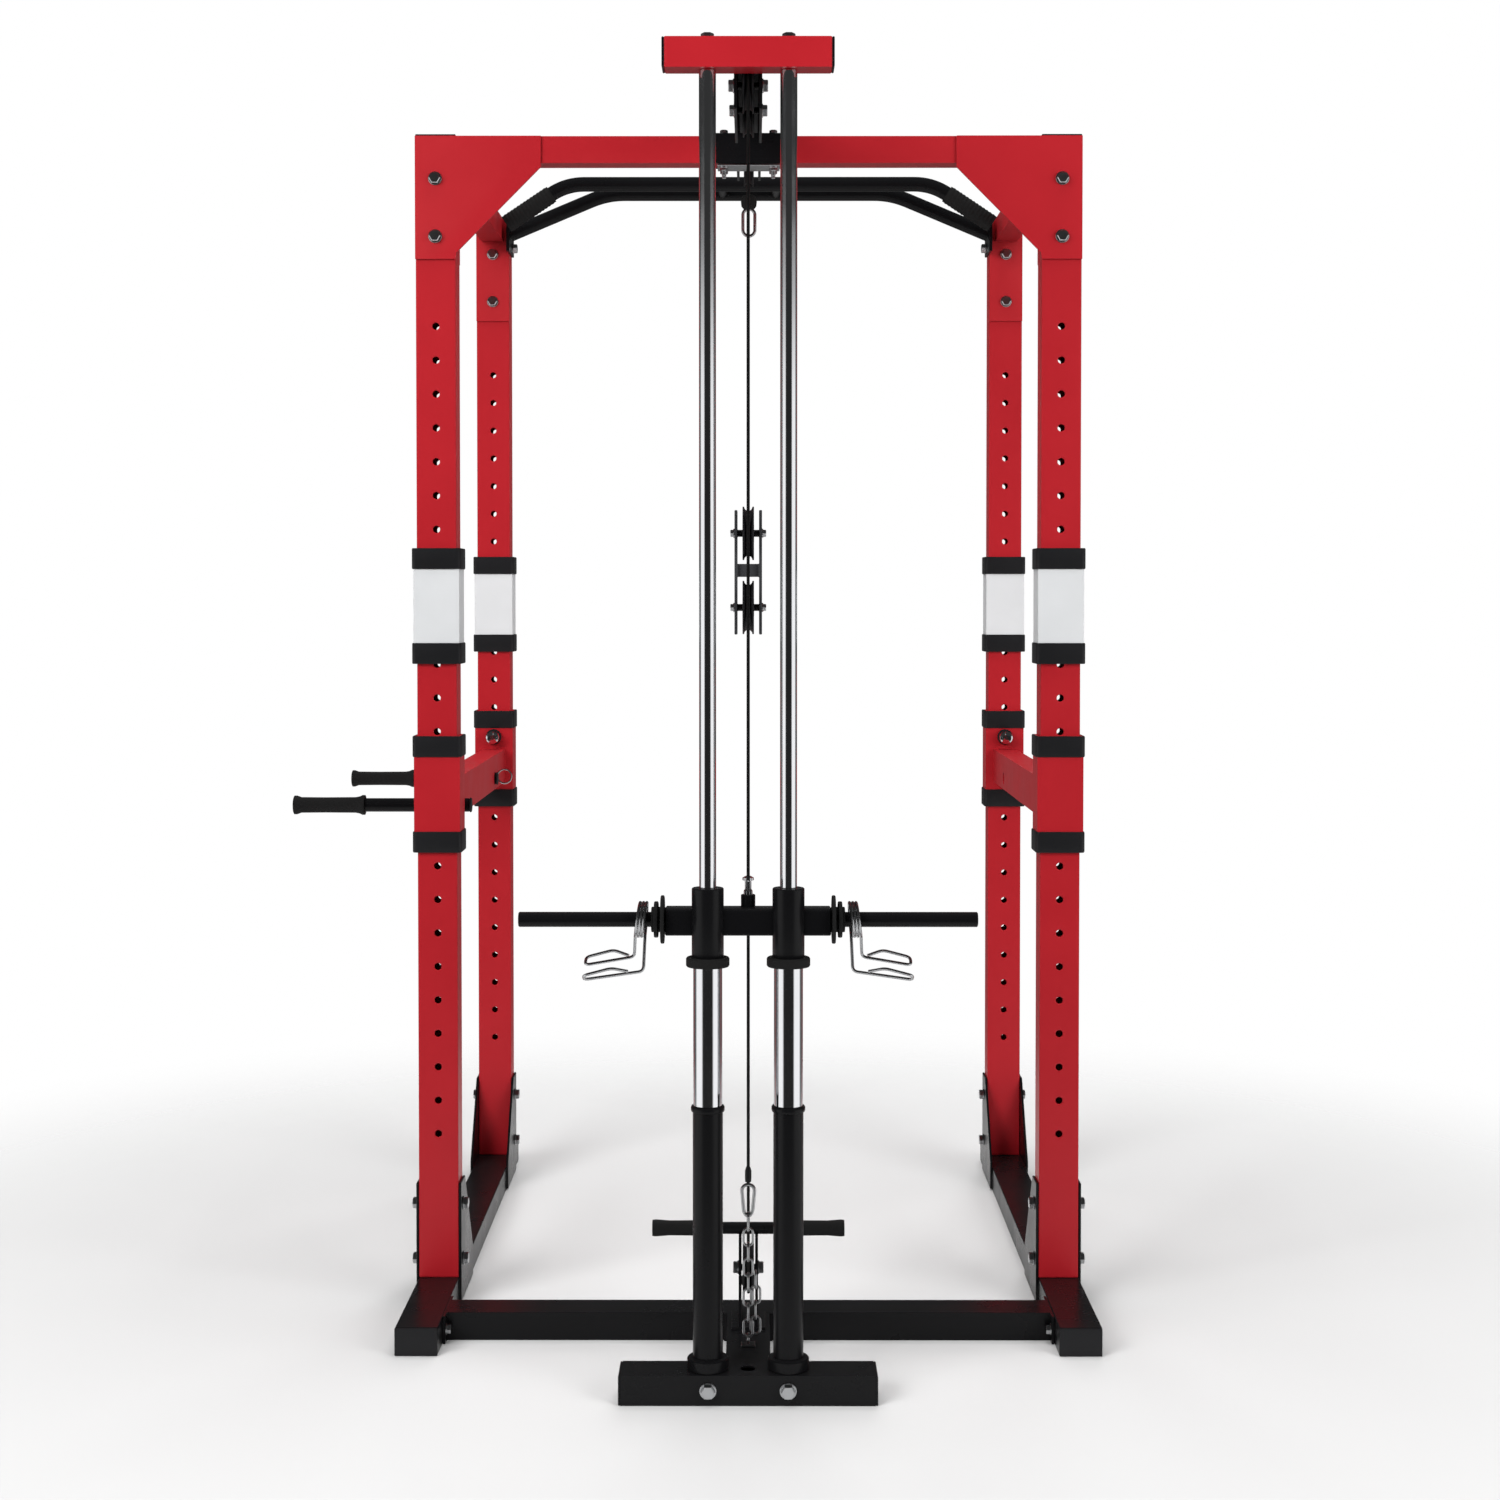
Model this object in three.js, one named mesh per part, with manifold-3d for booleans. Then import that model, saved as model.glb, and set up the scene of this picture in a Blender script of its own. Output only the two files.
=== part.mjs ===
// A functional trainer: a four-post rack with a pull-up bar and safety bars, and behind it
// a guide-rod tower that carries a weight carriage on a lat cable and a low row cable.
// Millimetres, +Z up. The origin is the middle of the rear floor crossbeam's underside,
// +X is to the right and +Y runs from the cable tower into the rack.
import * as THREE from 'three';
import { mergeVertices } from 'three/addons/utils/BufferGeometryUtils.js';
import Module from 'manifold-3d';

const wasm = await Module();
wasm.setup();

// ---- driving dimensions -------------------------------------------------------------
const GAP = 0.3; // between two pieces that touch
const WELD = 0.6; // how far welded pieces run into each other
const WALL = 3; // wall of every rectangular tube
const PLATE = 5; // thickness of flanges, gussets and foot plates

const INNER_HALF = 545; // middle of the rack to the inner face of a post
const POST_WIDTH = 75;
const POST_DEPTH = 60;
const OUTER_HALF = INNER_HALF + POST_WIDTH;
const POST_MIDDLE = (INNER_HALF + OUTER_HALF) / 2;
const REAR_POST_Y = 173;
const FRONT_POST_Y = 1122;
const BASE_HEIGHT = 50;
const POST_TOP = 2186;
const RAIL_START_Y = -123;
const RAIL_END_Y = 1272;

const HOLE_RADIUS = 7.5;
const HOLE_PITCH = 63;
const HOLE_COUNT = 25;
const FIRST_HOLE_Z = 322;
const HOLE_SIDES = 6;

const FOOT_PLATE_TOP = 229;
const FOOT_PLATE_REACH = 120; // how far a foot plate runs past the post along the rail
const CROSSBEAM_DEPTH = 75;
const CROSSBEAM_FLANGE = 120;

const TOP_BEAM = 50; // section of the top tubes
const TOP_BEAM_BOTTOM = POST_TOP - TOP_BEAM;
const FLANGE_BOTTOM = 1956; // lowest edge of the bolted plates at the post tops
const GUSSET_INNER_X = 386;
const GUSSET_STEP_Z = 2128;
const GUSSET_DIAGONAL_Z = 1970;

const PULL_UP_RADIUS = 16;
const PULL_UP_Z = 2240;
const PULL_UP_END_Z = 2148;
const FAR_TUBE = { y: 1097, bend: 321, end: 540.5, endZ: PULL_UP_END_Z };
const NEAR_TUBE = { y: 977, bend: 404, end: 536, endZ: 2152 };
const PULL_UP_STRUT_X = 60;
const GRIP_LENGTH = 120;

const SLEEVE = { width: 86, depth: 71, play: 0.75 };
const WHITE_SLEEVE = { bottom: 1205, top: 1421 };
const RED_SLEEVE = { bottom: 852, top: 1070 };
const SAFETY_BAR = { width: 50, bottom: 908, top: 983 };
const PIN = { z: 1011, shaft: 5.5, hole: 6.5, knob: 12.5, length: 36 };
const DIP = { z: 932, radius: 13, grip: 15, flare: 19, inner: 534, outer: 870, gripLength: 130 };
const DIP_YS = { near: 270, far: 912 };

const TOWER_Y = -335;
const TOWER_BEAM = { half: 210, depth: 75 };
const CENTRE_BEAM_HALF = 37.5;
const ROD_X = 66.7;
const ROD_RADIUS = 14;
const ROD_BORE = 14.7;
const STOP_TUBE = { radius: 25, top: 489, collar: 34.5, collarTop: 70, lip: 26.5, lipHeight: 8 };
const STOP_SLEEVE = { radius: 24, top: 720 - GAP };
const TOP_BAR = { half: 137, bottom: 2192, depth: 50, height: 50 };

const CARRIAGE = { bottom: 720, flangeTop: 735, top: 850, bush: 26.5, flange: 36 };
const CARRIAGE_BEAM = { half: 137, y0: -342, y1: -292, z0: 771, z1: 815 };
const HORN = { y: -317, z: 795, radius: 12.5, end: 381 };
const HORN_DISCS = [{ x0: 139, x1: 145, radius: 40 }, { x0: 149, x1: 156, radius: 30 }];
const COLLAR = { x0: 163, x1: 190, radius: 31.5, bore: 13.5 };
const SOCKET = { y: -303, radius: 12, top: 835, tip: 5.5, tipTop: 866 };

const CABLE_RADIUS = 2.75;
const CABLE_SIDES = 8;
const PULLEY = { pitch: 42, rim: 46, groove: 38, half: 10, lip: 8, bore: 6.6, sides: 16 };
const AXLE_RADIUS = 6;
const STRAND = { carriage: -303, middle: -219, near: -135 };
const FIRST_PULLEY = { y: -261, z: 2183 };
const SECOND_PULLEY = { y: -93, z: 2177 };
const LAT_PULLEY = { y: 465, z: 2190 };
const FLOAT_UPPER = { y: -177, z: 1439 };
const FLOAT_LOWER = { y: -177, z: 1312 };
const LOW_PULLEY = { y: -93, z: 148 };
const LAT_END = { top: 2136, ball: 16, ballHeight: 30, ring: 60 };
const LOW_END = { start: -40, ball: 14, ballLength: 22, ring: 58 };

const BOOM = { half: 23.5, plate: 5, top: 2242, low: 2135, high: 2191.3, tail: 2166, end: 525 };
const SADDLE = { half: 64, bottom: 2135 };
const BLOCK = { half: 23.5, plate: 5, y0: -202, y1: -152, bottom: 1266, top: 1478 };
const LOW_BRACKET = { half: 17, plate: 5, top: 201.2, base: 30 };
const FOOT_BAR = { y: -72, z: 212, radius: 10.5, half: 170, grip: 15, gripLength: 110 };
const ANCHOR = { chainTop: 270, hookTop: 330, link: 26, wide: 16, thin: 5, eye: 12 };

const SIDES = [{ name: 'left', sign: -1 }, { name: 'right', sign: 1 }];
const ROWS = [{ name: 'rear', y: REAR_POST_Y, inward: 1 }, { name: 'front', y: FRONT_POST_Y, inward: -1 }];

// ---- solids -------------------------------------------------------------------------
/** Turns a closed three.js geometry into a solid whose faces point outwards. */
function solidOf(geometry) {
  const plain = geometry.clone();
  plain.deleteAttribute('normal');
  plain.deleteAttribute('uv');
  const merged = mergeVertices(plain, 1e-3);
  const place = merged.attributes.position.array;
  const faces = Array.from(merged.index.array);
  const corner = (i) => new THREE.Vector3(place[3 * i], place[3 * i + 1], place[3 * i + 2]);
  let volume = 0;
  for (let i = 0; i < faces.length; i += 3) {
    const [a, b, c] = [corner(faces[i]), corner(faces[i + 1]), corner(faces[i + 2])];
    volume += a.dot(b.cross(c));
  }
  if (volume < 0) faces.reverse();
  return new wasm.Manifold(new wasm.Mesh({
    numProp: 3,
    vertProperties: new Float32Array(place),
    triVerts: new Uint32Array(faces),
  }));
}

const join = (...solids) => solids.reduce((whole, piece) => whole.add(piece));
const cut = (whole, ...solids) => solids.reduce((rest, piece) => rest.subtract(piece), whole);

/** A block between two corners, given in any order. */
function block(x0, x1, y0, y1, z0, z1) {
  const geometry = new THREE.BoxGeometry(Math.abs(x1 - x0), Math.abs(y1 - y0), Math.abs(z1 - z0));
  geometry.translate((x0 + x1) / 2, (y0 + y1) / 2, (z0 + z1) / 2);
  return solidOf(geometry);
}

/** A rectangular tube, open at both ends along one axis. */
function boxTube(axis, x0, x1, y0, y1, z0, z1, wall = WALL) {
  const lows = [Math.min(x0, x1), Math.min(y0, y1), Math.min(z0, z1)];
  const highs = [Math.max(x0, x1), Math.max(y0, y1), Math.max(z0, z1)];
  const inside = lows.map((low, i) => low + ('xyz'[i] === axis ? -1 : wall));
  const beyond = highs.map((high, i) => high + ('xyz'[i] === axis ? 1 : -wall));
  const hollow = block(inside[0], beyond[0], inside[1], beyond[1], inside[2], beyond[2]);
  return cut(block(x0, x1, y0, y1, z0, z1), hollow);
}

/** A round bar along one axis; a and b are its middle in the other two axes, in x-y-z order. */
function bar(axis, from, to, a, b, radius, sides = 12) {
  const geometry = new THREE.CylinderGeometry(radius, radius, Math.abs(to - from), sides);
  const middle = (from + to) / 2;
  if (axis === 'x') geometry.rotateZ(-Math.PI / 2).translate(middle, a, b);
  if (axis === 'y') geometry.translate(a, middle, b);
  if (axis === 'z') geometry.rotateX(Math.PI / 2).translate(a, b, middle);
  return solidOf(geometry);
}

/** A flat plate cut from an outline in the X-Z plane, between two Y planes. */
function plateXZ(shape, y0, y1) {
  const geometry = new THREE.ExtrudeGeometry(shape, { depth: y1 - y0, bevelEnabled: false, curveSegments: 5 });
  const turn = new THREE.Matrix4().makeBasis(
    new THREE.Vector3(1, 0, 0), new THREE.Vector3(0, 0, 1), new THREE.Vector3(0, -1, 0));
  geometry.applyMatrix4(turn).translate(0, y1, 0);
  return solidOf(geometry);
}

/** A flat plate cut from an outline in the Y-Z plane, between two X planes. */
function plateYZ(shape, x0, x1) {
  const geometry = new THREE.ExtrudeGeometry(shape, { depth: x1 - x0, bevelEnabled: false, curveSegments: 5 });
  const turn = new THREE.Matrix4().makeBasis(
    new THREE.Vector3(0, 1, 0), new THREE.Vector3(0, 0, 1), new THREE.Vector3(1, 0, 0));
  geometry.applyMatrix4(turn).translate(x0, 0, 0);
  return solidOf(geometry);
}

const outline = (points) => new THREE.Shape(points.map(([u, v]) => new THREE.Vector2(u, v)));

/** A flat ring with straight sides and round ends, as a carabiner is. */
function ringShape(u, v, halfWidth, halfLength, along, stock) {
  const oval = (path, width, length) => {
    const run = length - width;
    const quarter = Math.PI / 2;
    if (along === 'v') {
      path.absarc(u, v + run, width, 0, 2 * quarter, false);
      path.absarc(u, v - run, width, 2 * quarter, 4 * quarter, false);
    } else {
      path.absarc(u + run, v, width, -quarter, quarter, false);
      path.absarc(u - run, v, width, quarter, 3 * quarter, false);
    }
    return path;
  };
  const shape = oval(new THREE.Shape(), halfWidth, halfLength);
  shape.holes.push(oval(new THREE.Path(), halfWidth - stock, halfLength - stock));
  return shape;
}

/** A route through given points, each of which gets one section of a tube. */
class Route extends THREE.Curve {
  constructor(points) {
    super();
    this.points = points;
  }

  getPointAt(u, target = new THREE.Vector3()) {
    return target.copy(this.points[Math.round(u * (this.points.length - 1))]);
  }

  getTangentAt(u, target = new THREE.Vector3()) {
    const last = this.points.length - 1;
    const here = Math.round(u * last);
    const step = (i) => new THREE.Vector3().subVectors(this.points[i + 1], this.points[i]).normalize();
    target.set(0, 0, 0);
    if (here > 0) target.add(step(here - 1));
    if (here < last) target.add(step(here));
    return target.normalize();
  }
}

/** A round bar carried along a route of [x, y, z] points. */
function bentBar(points, radius, sides) {
  const section = new THREE.Shape();
  const turn = (2 * Math.PI) / sides;
  for (let i = 0; i < sides; i += 1) {
    const [u, v] = [radius * Math.cos(i * turn), radius * Math.sin(i * turn)];
    if (i === 0) section.moveTo(u, v);
    else section.lineTo(u, v);
  }
  const extrudePath = new Route(points.map(([x, y, z]) => new THREE.Vector3(x, y, z)));
  return solidOf(new THREE.ExtrudeGeometry(section, { steps: points.length - 1, bevelEnabled: false, extrudePath }));
}

/** Points of an arc in the Y-Z plane at X 0; degrees run from +Y towards +Z. */
function arc(centre, radius, fromDegrees, toDegrees) {
  const steps = Math.max(2, Math.round(Math.abs(toDegrees - fromDegrees) / 15));
  return Array.from({ length: steps + 1 }, (_, i) => {
    const angle = THREE.MathUtils.degToRad(fromDegrees + ((toDegrees - fromDegrees) * i) / steps);
    return [0, centre.y + radius * Math.cos(angle), centre.z + radius * Math.sin(angle)];
  });
}

const cable = (points) => bentBar(points, CABLE_RADIUS, CABLE_SIDES);

// ---- finishes -----------------------------------------------------------------------
const finish = (color, roughness, metalness) => new THREE.MeshStandardMaterial({ color, roughness, metalness });
const RED_PAINT = finish(0xb1282f, 0.35, 0.1);
const BLACK_PAINT = finish(0x161617, 0.38, 0.1);
const WHITE_PAINT = finish(0xd9dadc, 0.4, 0.05);
const CHROME = finish(0xc9cbce, 0.14, 1);
const ZINC = finish(0xa9abad, 0.35, 1);
const RUBBER = finish(0x131313, 0.85, 0);
const NYLON = finish(0x1b1b1c, 0.5, 0);
const GREY_PAINT = finish(0x3a3b3e, 0.4, 0.3);

const trainer = new THREE.Group();
trainer.name = 'functional_trainer';

/** Adds one named sub-part to a group. */
function place(parent, name, solid, material) {
  const surface = solid.getMesh();
  const geometry = new THREE.BufferGeometry();
  geometry.setAttribute('position', new THREE.BufferAttribute(new Float32Array(surface.vertProperties), 3));
  geometry.setIndex(new THREE.BufferAttribute(new Uint32Array(surface.triVerts), 1));
  geometry.computeVertexNormals();
  const mesh = new THREE.Mesh(geometry, material);
  mesh.name = name;
  parent.add(mesh);
}

/** Adds a group for one sub-assembly. */
function assembly() {
  const group = new THREE.Group();
  trainer.add(group);
  return group;
}

// ---- rack frame ---------------------------------------------------------------------
function floorRail(sign) {
  const rail = boxTube('y', sign * INNER_HALF, sign * OUTER_HALF, RAIL_START_Y, RAIL_END_Y, 0, BASE_HEIGHT);
  const plates = ROWS.flatMap((row) => {
    const [heel, toe] = row.inward > 0 ? [row.y, row.y + POST_DEPTH] : [row.y + POST_DEPTH, row.y];
    const reach = toe + row.inward * FOOT_PLATE_REACH;
    const shape = outline([[heel, WALL], [reach, WALL], [reach, BASE_HEIGHT + 12],
      [toe, FOOT_PLATE_TOP], [heel, FOOT_PLATE_TOP]]);
    const inner = sign > 0 ? INNER_HALF - PLATE : -INNER_HALF;
    const outer = sign > 0 ? OUTER_HALF : -OUTER_HALF - PLATE;
    return [inner, outer].map((x) => plateYZ(shape, x, x + PLATE));
  });
  return join(rail, ...plates);
}

function post(sign, y) {
  const tube = boxTube('z', sign * (INNER_HALF + GAP), sign * (OUTER_HALF - GAP), y, y + POST_DEPTH,
    BASE_HEIGHT + GAP, POST_TOP);
  const holes = Array.from({ length: HOLE_COUNT }, (_, i) => bar('y', y - 2, y + POST_DEPTH + 2,
    sign * POST_MIDDLE, FIRST_HOLE_Z + i * HOLE_PITCH, HOLE_RADIUS, HOLE_SIDES));
  return cut(tube, ...holes);
}

function rearFloorCrossbeam() {
  const end = INNER_HALF - GAP;
  const beam = boxTube('x', -end, end, -CROSSBEAM_DEPTH / 2, CROSSBEAM_DEPTH / 2, 0, BASE_HEIGHT);
  const flanges = SIDES.map(({ sign }) => cut(
    block(sign * (end - PLATE), sign * end, -CROSSBEAM_FLANGE / 2, CROSSBEAM_FLANGE / 2, 0, BASE_HEIGHT),
    block(sign * (end - PLATE - 1), sign * (end + 1), -CROSSBEAM_DEPTH / 2 + WALL, CROSSBEAM_DEPTH / 2 - WALL,
      WALL, BASE_HEIGHT - WALL)));
  return join(beam, ...flanges);
}

function rearTopCrossbeam() {
  const face = REAR_POST_Y - GAP;
  const beam = boxTube('x', -(INNER_HALF - GAP), INNER_HALF - GAP, face - WELD, face + TOP_BEAM,
    TOP_BEAM_BOTTOM, POST_TOP);
  const gussets = SIDES.map(({ sign }) => {
    const shape = outline([[OUTER_HALF, POST_TOP], [GUSSET_INNER_X, POST_TOP], [GUSSET_INNER_X, GUSSET_STEP_Z],
      [INNER_HALF - 2, GUSSET_DIAGONAL_Z], [INNER_HALF, FLANGE_BOTTOM + 2], [OUTER_HALF, FLANGE_BOTTOM + 2]]
      .map(([x, z]) => [sign * x, z]));
    return plateXZ(shape, face - PLATE, face);
  });
  return join(beam, ...gussets);
}

function sideTopRail(sign) {
  const [near, far] = [REAR_POST_Y + POST_DEPTH + GAP, FRONT_POST_Y - GAP];
  const half = TOP_BEAM / 2;
  const beam = boxTube('y', sign * (POST_MIDDLE - half), sign * (POST_MIDDLE + half), near + WELD, far - WELD,
    TOP_BEAM_BOTTOM, POST_TOP);
  const flange = (y) => cut(
    block(sign * (INNER_HALF + GAP), sign * (OUTER_HALF - GAP), y, y + PLATE, FLANGE_BOTTOM, POST_TOP),
    block(sign * (POST_MIDDLE - half + WALL), sign * (POST_MIDDLE + half - WALL), y - 1, y + PLATE + 1,
      TOP_BEAM_BOTTOM + WALL, POST_TOP - WALL));
  return join(beam, flange(near), flange(far - PLATE));
}

/** A gull-wing tube: level in the middle and bent down towards both ends. */
function gullTube({ y, bend, end, endZ }, reach = end) {
  const fall = (endZ - PULL_UP_Z) / (end - bend);
  const ease = 18;
  const wing = [[reach, endZ + fall * (reach - end)], [bend + ease, PULL_UP_Z + fall * ease],
    [bend + ease / 3, PULL_UP_Z + fall * ease * 0.2], [bend - ease, PULL_UP_Z]];
  const right = wing.map(([x, z]) => [x, y, z]);
  const left = wing.map(([x, z]) => [-x, y, z]).reverse();
  return [...right, ...left];
}

function pullUpBar() {
  const tubes = [FAR_TUBE, NEAR_TUBE].map((tube) => bentBar(gullTube(tube), PULL_UP_RADIUS, 12));
  const struts = SIDES.map(({ sign }) => bar('y', NEAR_TUBE.y, FAR_TUBE.y, sign * PULL_UP_STRUT_X, PULL_UP_Z, 12, 8));
  const plates = SIDES.map(({ sign }) => block(sign * (INNER_HALF - PLATE), sign * (INNER_HALF - GAP / 2),
    FAR_TUBE.y - 26, FRONT_POST_Y + POST_DEPTH - 6, PULL_UP_END_Z - 40, POST_TOP - 2));
  return join(...tubes, ...struts, ...plates);
}

function pullUpGrip(sign) {
  const { y, bend, end, endZ } = NEAR_TUBE;
  const slope = Math.atan2(endZ - PULL_UP_Z, end - bend);
  const along = new THREE.Vector3(Math.cos(slope), 0, Math.sin(slope));
  const tip = new THREE.Vector3(end, y, endZ);
  const [outer, inner] = [PULL_UP_RADIUS + 4, PULL_UP_RADIUS + GAP + 0.4];
  const at = (distance) => {
    const point = tip.clone().addScaledVector(along, distance);
    return [sign * point.x, point.y, point.z];
  };
  return cut(bentBar([at(-GRIP_LENGTH), at(-GAP)], outer, 12), bentBar([at(-GRIP_LENGTH - 2), at(2)], inner, 12));
}

const frame = assembly();
place(frame, 'rear_floor_crossbeam', rearFloorCrossbeam(), BLACK_PAINT);
place(frame, 'rear_top_crossbeam', rearTopCrossbeam(), RED_PAINT);
place(frame, 'pull_up_bar', pullUpBar(), BLACK_PAINT);
for (const { name, sign } of SIDES) {
  place(frame, `${name}_floor_rail`, floorRail(sign), BLACK_PAINT);
  place(frame, `${name}_top_rail`, sideTopRail(sign), RED_PAINT);
  place(frame, `${name}_pull_up_grip`, pullUpGrip(sign), RUBBER);
  for (const row of ROWS) place(frame, `${row.name}_${name}_upright`, post(sign, row.y), RED_PAINT);
}

// ---- sliding sleeves, safety bars, pins and dip handles -------------------------------
/** A square sleeve around one post, with a hole for its pin where it has one. */
function sleeve(sign, row, { bottom, top }, pinned) {
  const middleY = row.y + POST_DEPTH / 2;
  const [halfX, halfY] = [SLEEVE.width / 2, SLEEVE.depth / 2];
  const x = sign * POST_MIDDLE;
  const body = block(x - halfX, x + halfX, middleY - halfY, middleY + halfY, bottom, top);
  const inner = block(x - POST_WIDTH / 2 - SLEEVE.play, x + POST_WIDTH / 2 + SLEEVE.play,
    row.y - SLEEVE.play, row.y + POST_DEPTH + SLEEVE.play, bottom - 1, top + 1);
  const hollow = cut(body, inner);
  if (!pinned) return hollow;
  const face = middleY + row.inward * halfY;
  return cut(hollow, bar('y', face - 10 * row.inward, face + 5 * row.inward, x, PIN.z, PIN.hole, 10));
}

function safetyFrame(sign) {
  const sleeves = ROWS.map((row) => sleeve(sign, row, RED_SLEEVE, true));
  const half = SAFETY_BAR.width / 2;
  const near = REAR_POST_Y + (POST_DEPTH + SLEEVE.depth) / 2 - WELD;
  const far = FRONT_POST_Y + (POST_DEPTH - SLEEVE.depth) / 2 + WELD;
  const x = sign * POST_MIDDLE;
  const beam = boxTube('y', x - half, x + half, near, far, SAFETY_BAR.bottom, SAFETY_BAR.top);
  const holes = Object.values(DIP_YS).map((y) => bar('x', x - half - 2, x + half + 2, y, DIP.z, DIP.radius + 0.8));
  return join(cut(beam, ...holes), ...sleeves);
}

function popPin(sign, row) {
  const x = sign * POST_MIDDLE;
  const middleY = row.y + POST_DEPTH / 2;
  const face = middleY + row.inward * (SLEEVE.depth / 2);
  const tip = face - row.inward * 4.6;
  const shoulder = face + row.inward * GAP;
  return join(bar('y', tip, shoulder + row.inward * WELD, x, PIN.z, PIN.shaft, 10),
    bar('y', shoulder, shoulder + row.inward * PIN.length, x, PIN.z, PIN.knob, 12));
}

function dipHandle(y) {
  const grip = DIP.outer - DIP.gripLength;
  return join(bar('x', -DIP.inner, -DIP.outer + 2, y, DIP.z, DIP.radius),
    bar('x', -grip, -DIP.outer, y, DIP.z, DIP.grip),
    bar('x', -grip - 6, -grip + 4, y, DIP.z, DIP.flare),
    bar('x', -DIP.outer + 8, -DIP.outer, y, DIP.z, DIP.flare - 1));
}

const slides = assembly();
for (const { name, sign } of SIDES) {
  place(slides, `${name}_safety_bar`, safetyFrame(sign), RED_PAINT);
  for (const row of ROWS) {
    place(slides, `${row.name}_${name}_slider`, sleeve(sign, row, WHITE_SLEEVE, false), WHITE_PAINT);
    place(slides, `${row.name}_${name}_pop_pin`, popPin(sign, row), CHROME);
  }
}
for (const [name, y] of Object.entries(DIP_YS)) place(slides, `${name}_dip_handle`, dipHandle(y), BLACK_PAINT);

// ---- cable tower ----------------------------------------------------------------------
function towerBase() {
  const [front, back] = [TOWER_Y - TOWER_BEAM.depth / 2, TOWER_Y + TOWER_BEAM.depth / 2];
  const plateBack = -CROSSBEAM_DEPTH / 2 - GAP;
  const outside = join(block(-TOWER_BEAM.half, TOWER_BEAM.half, front, back, 0, BASE_HEIGHT),
    block(-CENTRE_BEAM_HALF, CENTRE_BEAM_HALF, back - WELD, plateBack - 1, 0, BASE_HEIGHT),
    block(-CENTRE_BEAM_HALF - 6, CENTRE_BEAM_HALF + 6, plateBack - PLATE, plateBack, 0, BASE_HEIGHT));
  const inside = join(
    block(-TOWER_BEAM.half - 1, TOWER_BEAM.half + 1, front + WALL, back - WALL, WALL, BASE_HEIGHT - WALL),
    block(-CENTRE_BEAM_HALF + WALL, CENTRE_BEAM_HALF - WALL, back - WALL - 1, plateBack - PLATE,
      WALL, BASE_HEIGHT - WALL));
  return cut(outside, inside, bar('z', BASE_HEIGHT - 10, BASE_HEIGHT + 5, 0, TOWER_Y, 13));
}

/** A ring or sleeve around a vertical rod. */
const around = (x, from, to, radius, sides = 16) => bar('z', from, to, x, TOWER_Y, radius, sides);

function stopTube(x) {
  const bottom = BASE_HEIGHT + GAP;
  const body = join(around(x, bottom, STOP_TUBE.top - GAP, STOP_TUBE.radius),
    around(x, bottom, STOP_TUBE.collarTop, STOP_TUBE.collar),
    around(x, STOP_TUBE.top - GAP - STOP_TUBE.lipHeight, STOP_TUBE.top - GAP, STOP_TUBE.lip));
  return cut(body, around(x, bottom - 5, STOP_TUBE.top + 5, ROD_BORE));
}

function stopSleeve(x) {
  return cut(around(x, STOP_TUBE.top, STOP_SLEEVE.top, STOP_SLEEVE.radius),
    around(x, STOP_TUBE.top - 5, STOP_SLEEVE.top + 5, ROD_BORE));
}

function towerTopBeam() {
  const [front, back] = [TOWER_Y - TOP_BAR.depth / 2, TOWER_Y + TOP_BAR.depth / 2];
  return boxTube('x', -TOP_BAR.half, TOP_BAR.half, front, back, TOP_BAR.bottom, TOP_BAR.bottom + TOP_BAR.height);
}

const axle = ({ y, z }, half) => bar('x', -half, half, y, z, AXLE_RADIUS);

function boomChannel() {
  const start = TOWER_Y + TOP_BAR.depth / 2 + GAP;
  const side = outline([[start, BOOM.top], [BOOM.end, BOOM.top], [BOOM.end, BOOM.tail], [330, BOOM.tail],
    [300, BOOM.high], [120, BOOM.high], [-20, BOOM.low], [start, BOOM.low]]);
  const inner = BOOM.half - BOOM.plate;
  const flanges = [plateYZ(side, -BOOM.half, -inner), plateYZ(side, inner, BOOM.half)];
  const web = block(-inner - 1, inner + 1, start, BOOM.end, BOOM.top - BOOM.plate, BOOM.top);
  const axles = [FIRST_PULLEY, SECOND_PULLEY, LAT_PULLEY].map((pulley) => axle(pulley, inner + 2));
  return join(...flanges, web, ...axles);
}

function crossbeamSaddle() {
  const [front, back] = [REAR_POST_Y - GAP - WELD - GAP, REAR_POST_Y - GAP + TOP_BEAM + GAP];
  const top = POST_TOP + GAP;
  return join(block(-SADDLE.half, SADDLE.half, front - 4, front, SADDLE.bottom, top + 4.5),
    block(-SADDLE.half, SADDLE.half, front - 4, back + 4, top, top + 4.5),
    block(-SADDLE.half, SADDLE.half, back, back + 4, SADDLE.bottom, top + 4.5));
}

function lowPulleyBracket() {
  const bottom = BASE_HEIGHT + GAP;
  const inner = LOW_BRACKET.half - LOW_BRACKET.plate;
  const side = outline([[LOW_PULLEY.y - 45, bottom], [LOW_PULLEY.y + 50, bottom], [LOW_PULLEY.y + 46, bottom + 30],
    [FOOT_BAR.y + 14, LOW_BRACKET.top], [FOOT_BAR.y - 26, LOW_BRACKET.top], [LOW_PULLEY.y - 40, bottom + 40]]);
  return join(plateYZ(side, -LOW_BRACKET.half, -inner), plateYZ(side, inner, LOW_BRACKET.half),
    block(-LOW_BRACKET.base, LOW_BRACKET.base, LOW_PULLEY.y - 45, LOW_PULLEY.y + 50, bottom, bottom + PLATE),
    axle(LOW_PULLEY, inner + 2));
}

function footBar() {
  const { y, z, radius, half, grip, gripLength } = FOOT_BAR;
  const grips = SIDES.map(({ sign }) => bar('x', sign * (half - gripLength), sign * half, y, z, grip, 10));
  return join(bar('x', -half + 4, half - 4, y, z, radius, 10), ...grips);
}

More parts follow.
